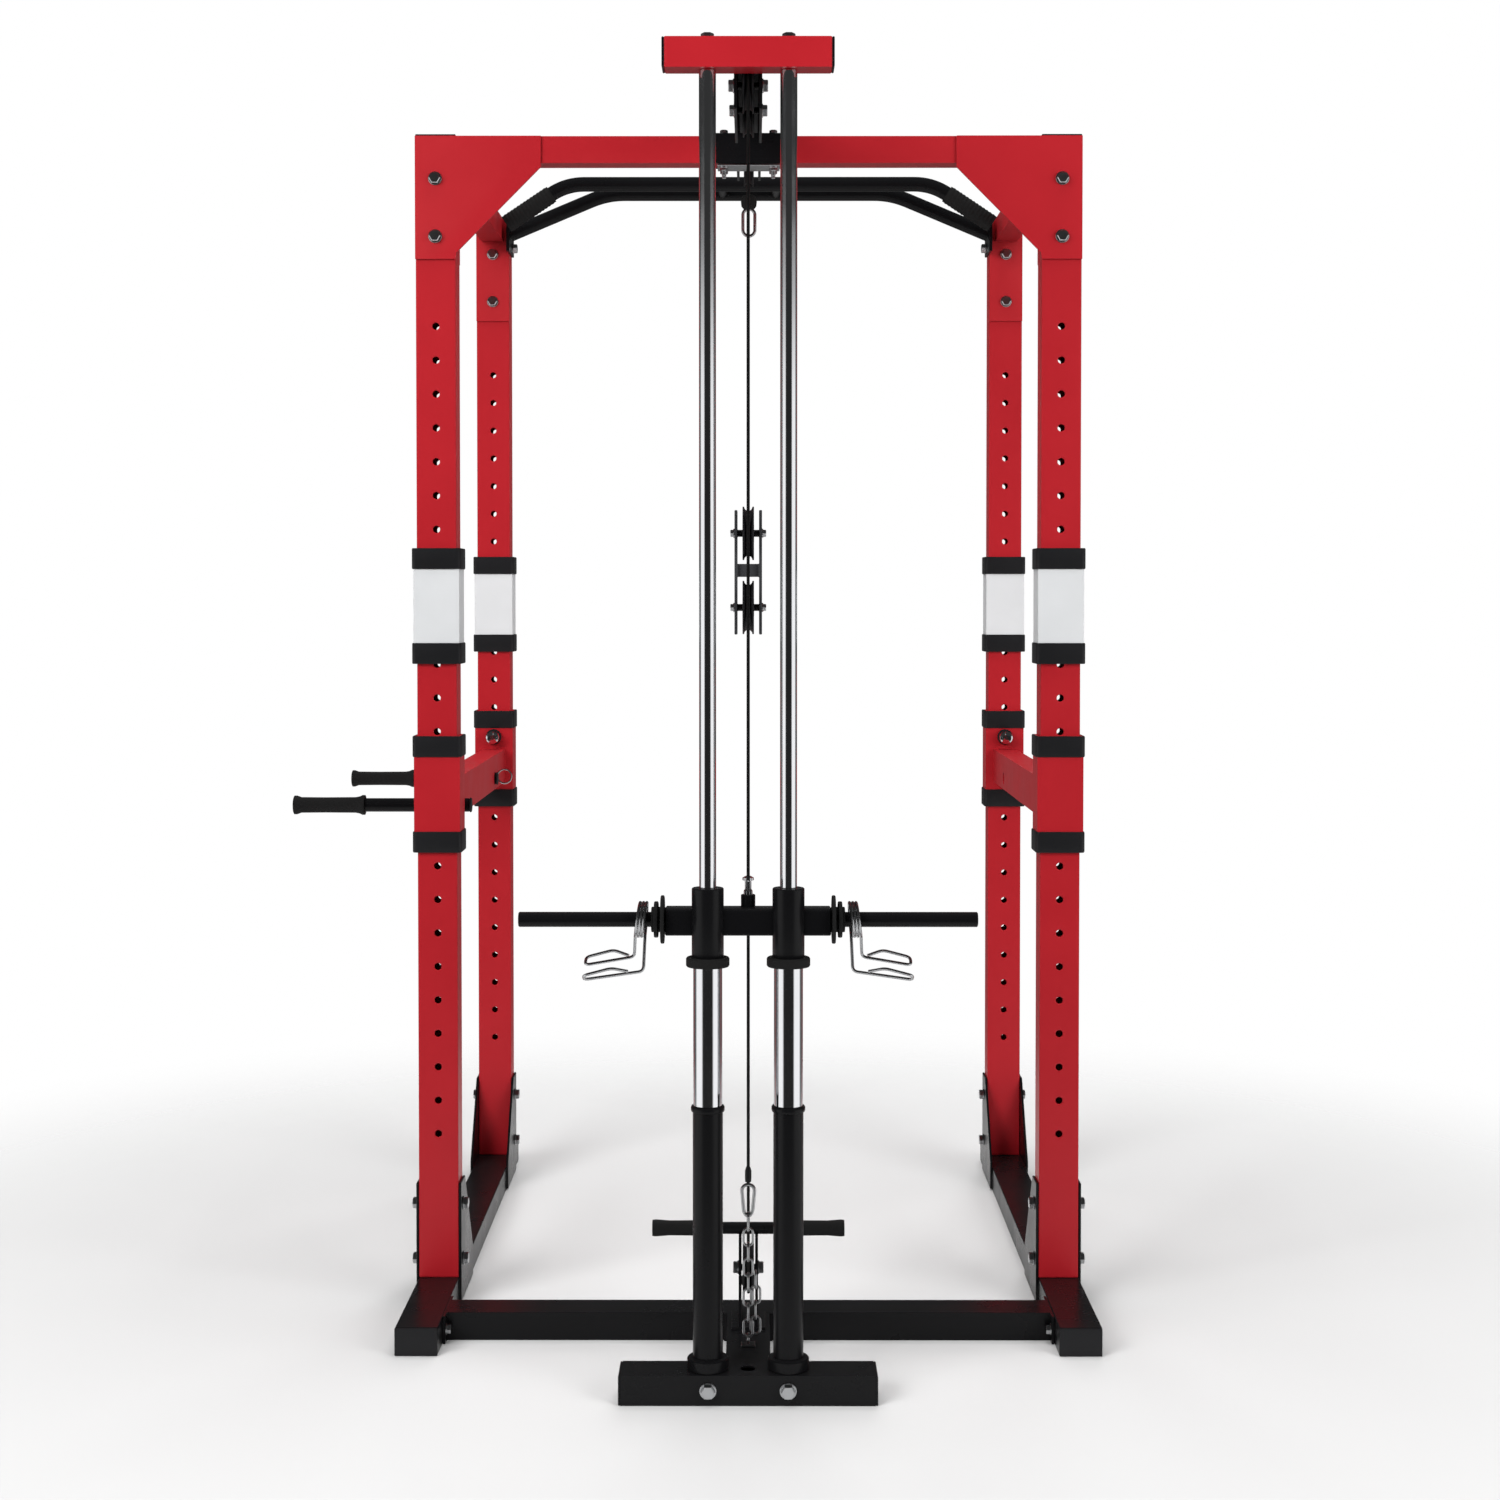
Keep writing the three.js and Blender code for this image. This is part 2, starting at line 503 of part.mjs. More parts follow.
function anchorChain() {
  const bottom = BASE_HEIGHT + GAP;
  const y = STRAND.middle;
  const links = [];
  const count = Math.round((ANCHOR.chainTop - bottom - 8) / (ANCHOR.link * 0.72));
  const pitch = (ANCHOR.chainTop - bottom - ANCHOR.link) / (count - 1);
  for (let i = 0; i < count; i += 1) {
    const [halfX, halfY] = i % 2 ? [ANCHOR.wide / 2, ANCHOR.thin / 2] : [ANCHOR.thin / 2, ANCHOR.wide / 2];
    const low = bottom + i * pitch;
    links.push(block(-halfX, halfX, y - halfY, y + halfY, low, low + ANCHOR.link));
  }
  return join(block(-ANCHOR.eye, ANCHOR.eye, y - ANCHOR.eye, y + ANCHOR.eye, bottom, bottom + 4), ...links);
}

function anchorHook() {
  const [low, high] = [ANCHOR.chainTop + GAP, ANCHOR.hookTop];
  const half = (high - low) / 2;
  return plateXZ(ringShape(0, low + half, 15, half, 'v', 6), STRAND.middle - 4, STRAND.middle + 4);
}

const tower = assembly();
place(tower, 'tower_base_frame', towerBase(), BLACK_PAINT);
place(tower, 'tower_top_beam', towerTopBeam(), RED_PAINT);
place(tower, 'boom_channel', boomChannel(), BLACK_PAINT);
place(tower, 'crossbeam_saddle', crossbeamSaddle(), BLACK_PAINT);
place(tower, 'low_pulley_bracket', lowPulleyBracket(), BLACK_PAINT);
place(tower, 'foot_bar', footBar(), BLACK_PAINT);
place(tower, 'anchor_chain', anchorChain(), ZINC);
place(tower, 'anchor_carabiner', anchorHook(), ZINC);
for (const { name, sign } of SIDES) {
  const x = sign * ROD_X;
  place(tower, `${name}_guide_rod`, around(x, BASE_HEIGHT + GAP, TOP_BAR.bottom - GAP, ROD_RADIUS), CHROME);
  place(tower, `${name}_stop_tube`, stopTube(x), BLACK_PAINT);
  place(tower, `${name}_stop_sleeve`, stopSleeve(x), CHROME);
}

// ---- weight carriage --------------------------------------------------------------------
function weightCarriage() {
  const beam = CARRIAGE_BEAM;
  const pieces = [block(-beam.half, beam.half, beam.y0, beam.y1, beam.z0, beam.z1),
    bar('x', -HORN.end, HORN.end, HORN.y, HORN.z, HORN.radius),
    bar('z', beam.z1 - 1, SOCKET.top, 0, SOCKET.y, SOCKET.radius, 10),
    bar('z', SOCKET.top - 1, SOCKET.tipTop, 0, SOCKET.y, SOCKET.tip, 8)];
  for (const { sign } of SIDES) {
    pieces.push(around(sign * ROD_X, CARRIAGE.bottom, CARRIAGE.flangeTop, CARRIAGE.flange));
    pieces.push(around(sign * ROD_X, CARRIAGE.bottom, CARRIAGE.top, CARRIAGE.bush));
    for (const { x0, x1, radius } of HORN_DISCS) pieces.push(bar('x', sign * x0, sign * x1, HORN.y, HORN.z, radius, 16));
  }
  const bores = SIDES.map(({ sign }) => around(sign * ROD_X, CARRIAGE.bottom - 5, CARRIAGE.top + 5, ROD_BORE));
  return cut(join(...pieces), ...bores);
}

function springCollar(sign) {
  const { x0, x1, radius, bore } = COLLAR;
  return cut(bar('x', sign * x0, sign * x1, HORN.y, HORN.z, radius),
    bar('x', sign * (x0 - 2), sign * (x1 + 2), HORN.y, HORN.z, bore));
}

const carriage = assembly();
place(carriage, 'weight_carriage', weightCarriage(), BLACK_PAINT);
for (const { name, sign } of SIDES) place(carriage, `${name}_spring_collar`, springCollar(sign), CHROME);

// ---- pulleys and cables -------------------------------------------------------------------
/** A grooved sheave that turns about X. */
function sheave({ y, z }) {
  const { rim, groove, half, lip, bore, sides } = PULLEY;
  const profile = [[bore, -half], [rim, -half], [rim, -lip], [groove, -2], [groove, 2], [rim, lip], [rim, half],
    [bore, half], [bore, -half]].map(([r, h]) => new THREE.Vector2(r, h));
  const geometry = new THREE.LatheGeometry(profile, sides);
  geometry.rotateZ(-Math.PI / 2).translate(0, y, z);
  return solidOf(geometry);
}

function floatingBlock() {
  const inner = BLOCK.half - BLOCK.plate;
  const middle = (FLOAT_UPPER.z + FLOAT_LOWER.z) / 2;
  return join(block(-BLOCK.half, -inner, BLOCK.y0, BLOCK.y1, BLOCK.bottom, BLOCK.top),
    block(inner, BLOCK.half, BLOCK.y0, BLOCK.y1, BLOCK.bottom, BLOCK.top),
    block(-inner - 1, inner + 1, BLOCK.y0 + 8, BLOCK.y1 - 8, middle - 11, middle + 11),
    axle(FLOAT_UPPER, inner + 2), axle(FLOAT_LOWER, inner + 2));
}

/** The lat cable's end: a rubber stop ball over a carabiner that hangs down. */
function latCableEnd() {
  const y = LAT_PULLEY.y + PULLEY.pitch;
  const ballBottom = LAT_END.top - LAT_END.ballHeight;
  const half = LAT_END.ring / 2;
  return join(bar('z', ballBottom, LAT_END.top, 0, y, LAT_END.ball, 12),
    plateXZ(ringShape(0, ballBottom + 4 - half, 15, half, 'v', 6), y - 4, y + 4));
}

/** The low cable's end: a rubber stop ball before a carabiner that points into the rack. */
function lowCableEnd() {
  const z = LOW_PULLEY.z - PULLEY.pitch;
  const ballEnd = LOW_END.start + LOW_END.ballLength;
  const half = LOW_END.ring / 2;
  return join(bar('y', LOW_END.start, ballEnd, 0, z, LOW_END.ball, 12),
    plateYZ(ringShape(ballEnd - 4 + half, z, 15, half, 'u', 6), -4, 4));
}

const straight = (y, from, to) => [[0, y, from], [0, y, to]];

const reeving = assembly();
const sheaves = { first_boom_pulley: FIRST_PULLEY, second_boom_pulley: SECOND_PULLEY, lat_pulley: LAT_PULLEY,
  floating_upper_pulley: FLOAT_UPPER, floating_lower_pulley: FLOAT_LOWER, low_pulley: LOW_PULLEY };
for (const [name, centre] of Object.entries(sheaves)) place(reeving, name, sheave(centre), NYLON);
place(reeving, 'floating_pulley_block', floatingBlock(), GREY_PAINT);
place(reeving, 'lat_cable_end', latCableEnd(), RUBBER);
place(reeving, 'low_cable_end', lowCableEnd(), RUBBER);
place(reeving, 'carriage_cable',
  cable(straight(STRAND.carriage, SOCKET.tipTop + GAP, FIRST_PULLEY.z - GAP)), RUBBER);
place(reeving, 'first_pulley_cable', cable(arc(FIRST_PULLEY, PULLEY.pitch, 180, 0)), RUBBER);
place(reeving, 'upper_loop_cable', cable([[0, STRAND.middle, FIRST_PULLEY.z - GAP],
  ...arc(FLOAT_UPPER, PULLEY.pitch, 180, 360), [0, STRAND.near, SECOND_PULLEY.z - GAP]]), RUBBER);
place(reeving, 'boom_cable', cable([...arc(SECOND_PULLEY, PULLEY.pitch, 180, 90),
  ...arc(LAT_PULLEY, PULLEY.pitch, 90, 0)]), RUBBER);
place(reeving, 'lat_cable',
  cable(straight(LAT_PULLEY.y + PULLEY.pitch, LAT_END.top + GAP, LAT_PULLEY.z - GAP)), RUBBER);
place(reeving, 'lower_loop_cable', cable([[0, STRAND.middle, ANCHOR.hookTop + GAP],
  ...arc(FLOAT_LOWER, PULLEY.pitch, 180, 0), [0, STRAND.near, LOW_PULLEY.z + GAP]]), RUBBER);
place(reeving, 'low_pulley_cable', cable([...arc(LOW_PULLEY, PULLEY.pitch, 180, 270),
  [0, LOW_END.start - GAP, LOW_PULLEY.z - PULLEY.pitch]]), RUBBER);

export default trainer;
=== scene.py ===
"""The looks of a functional trainer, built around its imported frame.

A four-post rack with a gull-wing pull-up bar and sliding safety bars stands in front of a
guide-rod tower, whose weight carriage hangs on a lat cable and a low row cable.
All lengths are metres, +Z is up and +Y runs from the cable tower into the rack.
"""

from __future__ import annotations

import logging
from dataclasses import dataclass, field
from enum import Enum

import bpy
import numpy as np
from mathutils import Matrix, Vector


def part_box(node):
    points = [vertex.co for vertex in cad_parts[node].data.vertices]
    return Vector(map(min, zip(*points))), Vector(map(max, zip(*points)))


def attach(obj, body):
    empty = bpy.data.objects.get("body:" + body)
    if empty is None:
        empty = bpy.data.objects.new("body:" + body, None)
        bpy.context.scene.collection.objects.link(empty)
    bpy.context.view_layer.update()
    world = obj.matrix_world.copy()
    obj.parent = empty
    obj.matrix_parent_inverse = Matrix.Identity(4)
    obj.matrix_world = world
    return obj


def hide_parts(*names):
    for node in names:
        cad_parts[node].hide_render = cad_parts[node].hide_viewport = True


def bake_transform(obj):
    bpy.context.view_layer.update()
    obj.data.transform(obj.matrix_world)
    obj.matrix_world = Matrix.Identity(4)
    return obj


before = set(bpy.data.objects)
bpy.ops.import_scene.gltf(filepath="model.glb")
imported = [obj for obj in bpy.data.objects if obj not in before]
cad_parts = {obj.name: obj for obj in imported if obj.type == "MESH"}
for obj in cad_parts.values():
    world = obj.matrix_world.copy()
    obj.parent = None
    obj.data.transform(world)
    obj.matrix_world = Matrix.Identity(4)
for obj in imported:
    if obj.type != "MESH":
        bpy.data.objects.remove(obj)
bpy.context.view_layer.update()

LOG = logging.getLogger("functional_trainer")
SIDES = {"left": -1.0, "right": 1.0}
ROWS = {"rear": 1.0, "front": -1.0}
FULL_TURN = 2.0 * np.pi


class Axis(Enum):
    """An axis of the frame, by its place in a point."""

    X = 0
    Y = 1
    Z = 2


class Slot(Enum):
    """A finish of the machine, by the name of its material slot."""

    RED_PAINT = "red_paint"
    BLACK_PAINT = "black_paint"
    WHITE_PAINT = "white_paint"
    CHROME = "chrome"
    ZINC = "zinc"
    GREY_PAINT = "grey_paint"
    RUBBER = "rubber"
    NYLON = "nylon"
    CABLE_COVER = "cable_cover"


class BoltSize(Enum):
    """A bolt head's width across its flats."""

    BASE = 0.021
    FRAME = 0.019
    AXLE = 0.018
    BRACE = 0.016
    CLAMP = 0.013
    BLOCK = 0.012


# ---- surfaces -------------------------------------------------------------------------
@dataclass
class Surface:
    """Points and faces that become one mesh."""

    points: np.ndarray
    faces: list[tuple[int, ...]]

    def __add__(self, other: "Surface") -> "Surface":
        """Puts two surfaces into one."""
        start = len(self.points)
        moved = [tuple(int(i) + start for i in face) for face in other.faces]
        return Surface(np.vstack([self.points, other.points]), self.faces + moved)


def together(surfaces: list[Surface]) -> Surface:
    """Puts a list of surfaces into one.

    Args:
        surfaces: the surfaces, at least one.

    Returns:
        One surface with all their points and faces.
    """
    whole = surfaces[0]
    for surface in surfaces[1:]:
        whole = whole + surface
    return whole


def grid_faces(rows: int, columns: int, wrap_rows: bool) -> list[tuple[int, ...]]:
    """Faces of a grid of points whose columns close on themselves.

    Args:
        rows: number of rings of points.
        columns: number of points in each ring.
        wrap_rows: whether the last ring joins the first.

    Returns:
        One face of four corners for each cell.
    """
    last = rows if wrap_rows else rows - 1
    row, column = np.meshgrid(np.arange(last), np.arange(columns), indexing="ij")
    ahead, beside = (row + 1) % rows, (column + 1) % columns
    corners = [row * columns + column, row * columns + beside,
               ahead * columns + beside, ahead * columns + column]
    return [tuple(face) for face in np.stack(corners, axis=-1).reshape(-1, 4).tolist()]


def facing_out(surface: Surface) -> Surface:
    """Turns every face round if the closed surface encloses a negative volume.

    The volume is the sum, over fans of triangles, of each corner's dot with the others' cross.

    Args:
        surface: a closed surface whose faces all turn the same way.

    Returns:
        The same surface, with its faces pointing outwards.
    """
    volume = 0.0
    for face in surface.faces:
        corner = surface.points[list(face)]
        fan = np.cross(corner[1:-1], corner[2:])
        volume += float((fan @ corner[0]).sum())
    if volume < 0:
        surface.faces = [tuple(reversed(face)) for face in surface.faces]
    return surface


def carried(path: np.ndarray, section: np.ndarray, closed: bool = False) -> Surface:
    """Carries a section along a path, square to it at every point.

    The section's own axes are turned from point to point by the smallest turn that keeps
    them square to the path, so the surface doesn't twist.

    Args:
        path: points of the route, one per row.
        section: outline as pairs of offsets, in order.
        closed: whether the route ends where it starts.

    Returns:
        A closed surface, capped at both ends where the route is open.
    """
    ahead = np.roll(path, -1, axis=0) - path
    behind = path - np.roll(path, 1, axis=0)
    if not closed:
        ahead[-1], behind[0] = behind[-1], ahead[0]
    ahead /= np.linalg.norm(ahead, axis=1, keepdims=True)
    behind /= np.linalg.norm(behind, axis=1, keepdims=True)
    tangent = ahead + behind
    tangent /= np.linalg.norm(tangent, axis=1, keepdims=True)
    guide = np.eye(3)[int(np.argmin(np.abs(tangent[0])))]
    first = np.cross(tangent[0], guide)
    across = np.zeros_like(path)
    across[0] = first / np.linalg.norm(first)
    for i in range(1, len(path)):
        side = across[i - 1] - tangent[i] * float(across[i - 1] @ tangent[i])
        across[i] = side / np.linalg.norm(side)
    upward = np.cross(tangent, across)
    points = (path[:, None, :] + across[:, None, :] * section[None, :, :1]
              + upward[:, None, :] * section[None, :, 1:])
    count = len(section)
    faces = grid_faces(len(path), count, closed)
    if not closed:
        faces.append(tuple(reversed(range(count))))
        faces.append(tuple(range((len(path) - 1) * count, len(path) * count)))
    return facing_out(Surface(points.reshape(-1, 3), faces))


def circle(radius: float, sides: int = 20) -> np.ndarray:
    """Points of a circle, as pairs."""
    angle = np.linspace(0.0, FULL_TURN, sides, endpoint=False)
    return radius * np.column_stack([np.cos(angle), np.sin(angle)])


def rounded_box_outline(width: float, depth: float, radius: float, steps: int = 5) -> np.ndarray:
    """A rectangle with round corners: each corner is a quarter circle around its own centre.

    Args:
        width: its size along the first axis.
        depth: its size along the second axis.
        radius: the radius of the corners.
        steps: number of points on each corner.

    Returns:
        The outline's points, as pairs around the origin.
    """
    quarter = np.linspace(0.0, np.pi / 2, steps)
    centres = [(1, 1), (-1, 1), (-1, -1), (1, -1)]
    corners = [np.column_stack([cx * (width / 2 - radius) + radius * np.cos(quarter + turn * np.pi / 2),
                                cy * (depth / 2 - radius) + radius * np.sin(quarter + turn * np.pi / 2)])
               for turn, (cx, cy) in enumerate(centres)]
    return np.vstack(corners)


def turned(profile: list[tuple[float, float]], centre: tuple[float, float, float], axis: Axis,
           segments: int = 40, closed: bool = False) -> Surface:
    """Turns a profile about an axis, as on a lathe.

    Args:
        profile: pairs of radius and distance along the axis, from centre.
        centre: the point where the distance is zero.
        axis: the axis of turning.
        segments: number of steps round the circle.
        closed: whether the profile is a loop around a bore.

    Returns:
        A closed surface; an open profile gets a flat cap at each end.
    """
    shape = np.array(profile, float)
    angle = np.linspace(0.0, FULL_TURN, segments, endpoint=False)
    rings = np.zeros((len(shape), segments, 3))
    one, two = [i for i in range(3) if i != axis.value]
    rings[:, :, axis.value] = shape[:, 1:2]
    rings[:, :, one] = shape[:, :1] * np.cos(angle)
    rings[:, :, two] = shape[:, :1] * np.sin(angle)
    faces = grid_faces(len(shape), segments, closed)
    if not closed:
        faces.append(tuple(range(segments)))
        last = (len(shape) - 1) * segments
        faces.append(tuple(reversed(range(last, last + segments))))
    return facing_out(Surface(rings.reshape(-1, 3) + np.array(centre), faces))


def shaft(start: float, end: float, radius: float, centre: tuple[float, float, float], axis: Axis,
          chamfer: float = 0.001, segments: int = 40) -> Surface:
    """A round bar with a small chamfer at both ends.

    Args:
        start: where it starts along the axis, from centre.
        end: where it ends along the axis, from centre.
        radius: the bar's radius.
        centre: the point where start and end are measured from.
        axis: the bar's axis.
        chamfer: the size of the chamfers.
        segments: number of steps round the bar.

    Returns:
        The closed bar.
    """
    sign = 1.0 if end > start else -1.0
    return turned([(radius - chamfer, start), (radius, start + sign * chamfer),
                   (radius, end - sign * chamfer), (radius - chamfer, end)], centre, axis, segments)


def slab(low: tuple[float, float, float], high: tuple[float, float, float],
         radius: float = 0.002) -> Surface:
    """A block with round edges along its longest side and a chamfer at both ends of it.

    Args:
        low: one corner of the block.
        high: the corner across from it.
        radius: the radius of the long edges.

    Returns:
        The closed block.
    """
    a, b = np.minimum(low, high), np.maximum(low, high)
    size, middle = b - a, (a + b) / 2
    long_way = int(np.argmax(size))
    one, two = [i for i in range(3) if i != long_way]
    radius = min(radius, 0.45 * size[one], 0.45 * size[two])
    rings = []
    for inset, along in ((radius * 0.4, a[long_way]), (0.0, a[long_way] + radius * 0.4),
                         (0.0, b[long_way] - radius * 0.4), (radius * 0.4, b[long_way])):
        outline = rounded_box_outline(size[one] - 2 * inset, size[two] - 2 * inset, radius)
        ring = np.zeros((len(outline), 3))
        ring[:, one], ring[:, two] = outline[:, 0] + middle[one], outline[:, 1] + middle[two]
        ring[:, long_way] = along
        rings.append(ring)
    count = len(rings[0])
    faces = grid_faces(len(rings), count, False)
    faces += [tuple(range(count)), tuple(reversed(range(3 * count, 4 * count)))]
    return facing_out(Surface(np.vstack(rings), faces))


def arc(centre: tuple[float, float], radius: float, start: float, end: float, steps: int = 24) -> np.ndarray:
    """Points of an arc in the Y-Z plane at X 0: the centre plus radius times cosine and sine.

    Args:
        centre: the arc's centre, as Y and Z.
        radius: the arc's radius.
        start: where it starts, in degrees from +Y towards +Z.
        end: where it ends, in the same degrees.
        steps: number of points.

    Returns:
        The points, one per row.
    """
    angle = np.radians(np.linspace(start, end, steps))
    return np.column_stack([0 * angle, centre[0] + radius * np.cos(angle),
                            centre[1] + radius * np.sin(angle)])


def smooth_route(corners: np.ndarray, radius: float, steps: int = 10) -> np.ndarray:
    """Rounds the corners of a route: each corner becomes a parabola between two nearby points.

    Args:
        corners: the route's corners, one per row.
        radius: how far from a corner its curve starts and ends.
        steps: number of points on each curve.

    Returns:
        The rounded route's points, one per row.
    """
    points = [corners[0]]
    blend = np.linspace(0.0, 1.0, steps)[:, None]
    for before, corner, after in zip(corners[:-2], corners[1:-1], corners[2:]):
        entry = corner + (before - corner) / np.linalg.norm(before - corner) * radius
        leave = corner + (after - corner) / np.linalg.norm(after - corner) * radius
        points.extend((1 - blend) ** 2 * entry + 2 * blend * (1 - blend) * corner + blend ** 2 * leave)
    points.append(corners[-1])
    return np.array(points)


def hexagon_bolt(centre: tuple[float, float, float], axis: Axis, outward: float,
                 size: BoltSize = BoltSize.FRAME) -> Surface:
    """A hexagon bolt head on a round washer.

    Args:
        centre: the point of the face that the washer lies on.
        axis: the bolt's axis.
        outward: 1 or -1, the way the head points along the axis.
        size: how big the head is.

    Returns:
        The washer and the head.
    """
    washer, head = size.value * 0.66, size.value * 0.5
    ring = turned([(washer * 0.96, 0.0), (washer, 0.0004 * outward), (washer, 0.0018 * outward),
                   (washer * 0.94, 0.0022 * outward)], centre, axis, 28)
    top = 0.0022 + size.value * 0.42
    cap = turned([(head * 1.15, 0.002 * outward), (head * 1.15, (top - 0.0012) * outward),
                  (head * 0.98, top * outward)], centre, axis, 6)
    return ring + cap


# ---- finishes -------------------------------------------------------------------------
def node_of(tree: bpy.types.NodeTree, kind: str, **values: object) -> bpy.types.Node:
    """Adds a node and sets its named properties.

    Args:
        tree: the node tree.
        kind: the node's type name.
        values: properties of the node and their values.

    Returns:
        The new node.
    """
    node = tree.nodes.new(kind)
    for name, value in values.items():
        setattr(node, name, value)
    return node


def wear_group() -> bpy.types.NodeTree:
    """Builds the shared group of masks: worn edges, settled dust, a fine grain and blotches.

    Returns:
        The group, which puts out values only.
    """
    tree = bpy.data.node_groups.new("worn_surface", "ShaderNodeTree")
    for name, default in (("Grain Scale", 600.0), ("Blotch Scale", 9.0), ("Edge Width", 0.55)):
        socket = tree.interface.new_socket(name, in_out="INPUT", socket_type="NodeSocketFloat")
        socket.default_value = default
    for name in ("Edge", "Dust", "Grain", "Blotch"):
        tree.interface.new_socket(name, in_out="OUTPUT", socket_type="NodeSocketFloat")
    given, result = node_of(tree, "NodeGroupInput"), node_of(tree, "NodeGroupOutput")
    place = node_of(tree, "ShaderNodeTexCoord")
    geometry = node_of(tree, "ShaderNodeNewGeometry")
    grain = node_of(tree, "ShaderNodeTexNoise")
    blotch = node_of(tree, "ShaderNodeTexNoise")
    for noise, scale, detail in ((grain, "Grain Scale", 2.0), (blotch, "Blotch Scale", 5.0)):
        tree.links.new(place.outputs["Object"], noise.inputs["Vector"])
        tree.links.new(given.outputs[scale], noise.inputs["Scale"])
        noise.inputs["Detail"].default_value = detail
    edge = node_of(tree, "ShaderNodeMapRange", clamp=True)
    edge.inputs["To Min"].default_value, edge.inputs["To Max"].default_value = 0.0, 1.0
    edge.inputs["From Max"].default_value = 0.72
    tree.links.new(geometry.outputs["Pointiness"], edge.inputs["Value"])
    tree.links.new(given.outputs["Edge Width"], edge.inputs["From Min"])
    broken = node_of(tree, "ShaderNodeMath", operation="MULTIPLY")
    tree.links.new(edge.outputs["Result"], broken.inputs[0])
    tree.links.new(blotch.outputs["Fac"], broken.inputs[1])
    apart = node_of(tree, "ShaderNodeSeparateXYZ")
    tree.links.new(geometry.outputs["Normal"], apart.inputs["Vector"])
    dust = node_of(tree, "ShaderNodeMapRange", clamp=True)
    dust.inputs["From Min"].default_value, dust.inputs["From Max"].default_value = 0.6, 1.0
    tree.links.new(apart.outputs["Z"], dust.inputs["Value"])
    settled = node_of(tree, "ShaderNodeMath", operation="MULTIPLY")
    tree.links.new(dust.outputs["Result"], settled.inputs[0])
    tree.links.new(blotch.outputs["Fac"], settled.inputs[1])
    for source, name in ((broken.outputs[0], "Edge"), (settled.outputs[0], "Dust"),
                         (grain.outputs["Fac"], "Grain"), (blotch.outputs["Fac"], "Blotch")):
        tree.links.new(source, result.inputs[name])
    return tree


@dataclass(frozen=True)
class Finish:
    """One finish of the machine: its colours, gloss and grain."""

    slot: Slot
    colour: tuple[float, float, float]
    worn_colour: tuple[float, float, float]
    roughness: float
    metallic: float = 0.0
    coat: float = 0.0
    grain_scale: float = 600.0
    grain_depth: float = 0.00004
    wear: float = 0.25
    dust: float = 0.05
    roughness_spread: float = 0.08
    specular: float = 0.5
    shade: float = 0.86

    def build(self, masks: bpy.types.NodeTree) -> bpy.types.Material:
        """Makes the material from this finish and the shared masks.

        Args:
            masks: the node group that puts out edge, dust, grain and blotch.

        Returns:
            The finished material.
        """
        material = bpy.data.materials.new(self.slot.value)
        material.use_nodes = True
        tree = material.node_tree
        shader = tree.nodes["Principled BSDF"]
        group = node_of(tree, "ShaderNodeGroup", node_tree=masks)
        group.inputs["Grain Scale"].default_value = self.grain_scale
        dust_colour = tuple(0.75 * c + 0.08 for c in self.colour)
        shaded = tuple(c * self.shade for c in self.colour)
        tinted = self._mix(tree, group.outputs["Blotch"], shaded, self.colour, 1.0)
        edged = self._mix(tree, group.outputs["Edge"], tinted, self.worn_colour, self.wear)
        dusted = self._mix(tree, group.outputs["Dust"], edged, dust_colour, self.dust)
        tree.links.new(dusted, shader.inputs["Base Color"])
        gloss = node_of(tree, "ShaderNodeMapRange", clamp=True)
        gloss.inputs["From Min"].default_value, gloss.inputs["From Max"].default_value = 0.3, 0.7
        gloss.inputs["To Min"].default_value = self.roughness
        gloss.inputs["To Max"].default_value = self.roughness + self.roughness_spread
        tree.links.new(group.outputs["Blotch"], gloss.inputs["Value"])
        tree.links.new(gloss.outputs["Result"], shader.inputs["Roughness"])
        bump = node_of(tree, "ShaderNodeBump")
        bump.inputs["Distance"].default_value = self.grain_depth
        bump.inputs["Strength"].default_value = 0.6
        tree.links.new(group.outputs["Grain"], bump.inputs["Height"])
        tree.links.new(bump.outputs["Normal"], shader.inputs["Normal"])
        shader.inputs["Metallic"].default_value = self.metallic
        shader.inputs["Specular IOR Level"].default_value = self.specular
        shader.inputs["Coat Weight"].default_value = self.coat
        shader.inputs["Coat Roughness"].default_value = 0.12
        return material

    @staticmethod
    def _mix(tree: bpy.types.NodeTree, mask: bpy.types.NodeSocket, base: object,
             over: tuple[float, float, float], amount: float) -> bpy.types.NodeSocket:
        """Lays one colour over another where a mask says.

        Args:
            tree: the material's node tree.
            mask: where the colour goes, from 0 to 1.
            base: the colour below, as a socket or as a plain colour.
            over: the colour on top.
            amount: how much of it shows where the mask is full.

        Returns:
            The socket that puts out the mixed colour.
        """
        scaled = node_of(tree, "ShaderNodeMath", operation="MULTIPLY")
        scaled.inputs[1].default_value = amount
        tree.links.new(mask, scaled.inputs[0])
        mix = node_of(tree, "ShaderNodeMix", data_type="RGBA")
        tree.links.new(scaled.outputs[0], mix.inputs["Factor"])
        if isinstance(base, tuple):
            mix.inputs[6].default_value = (*base, 1.0)
        else:
            tree.links.new(base, mix.inputs[6])
        mix.inputs[7].default_value = (*over, 1.0)
        return mix.outputs[2]


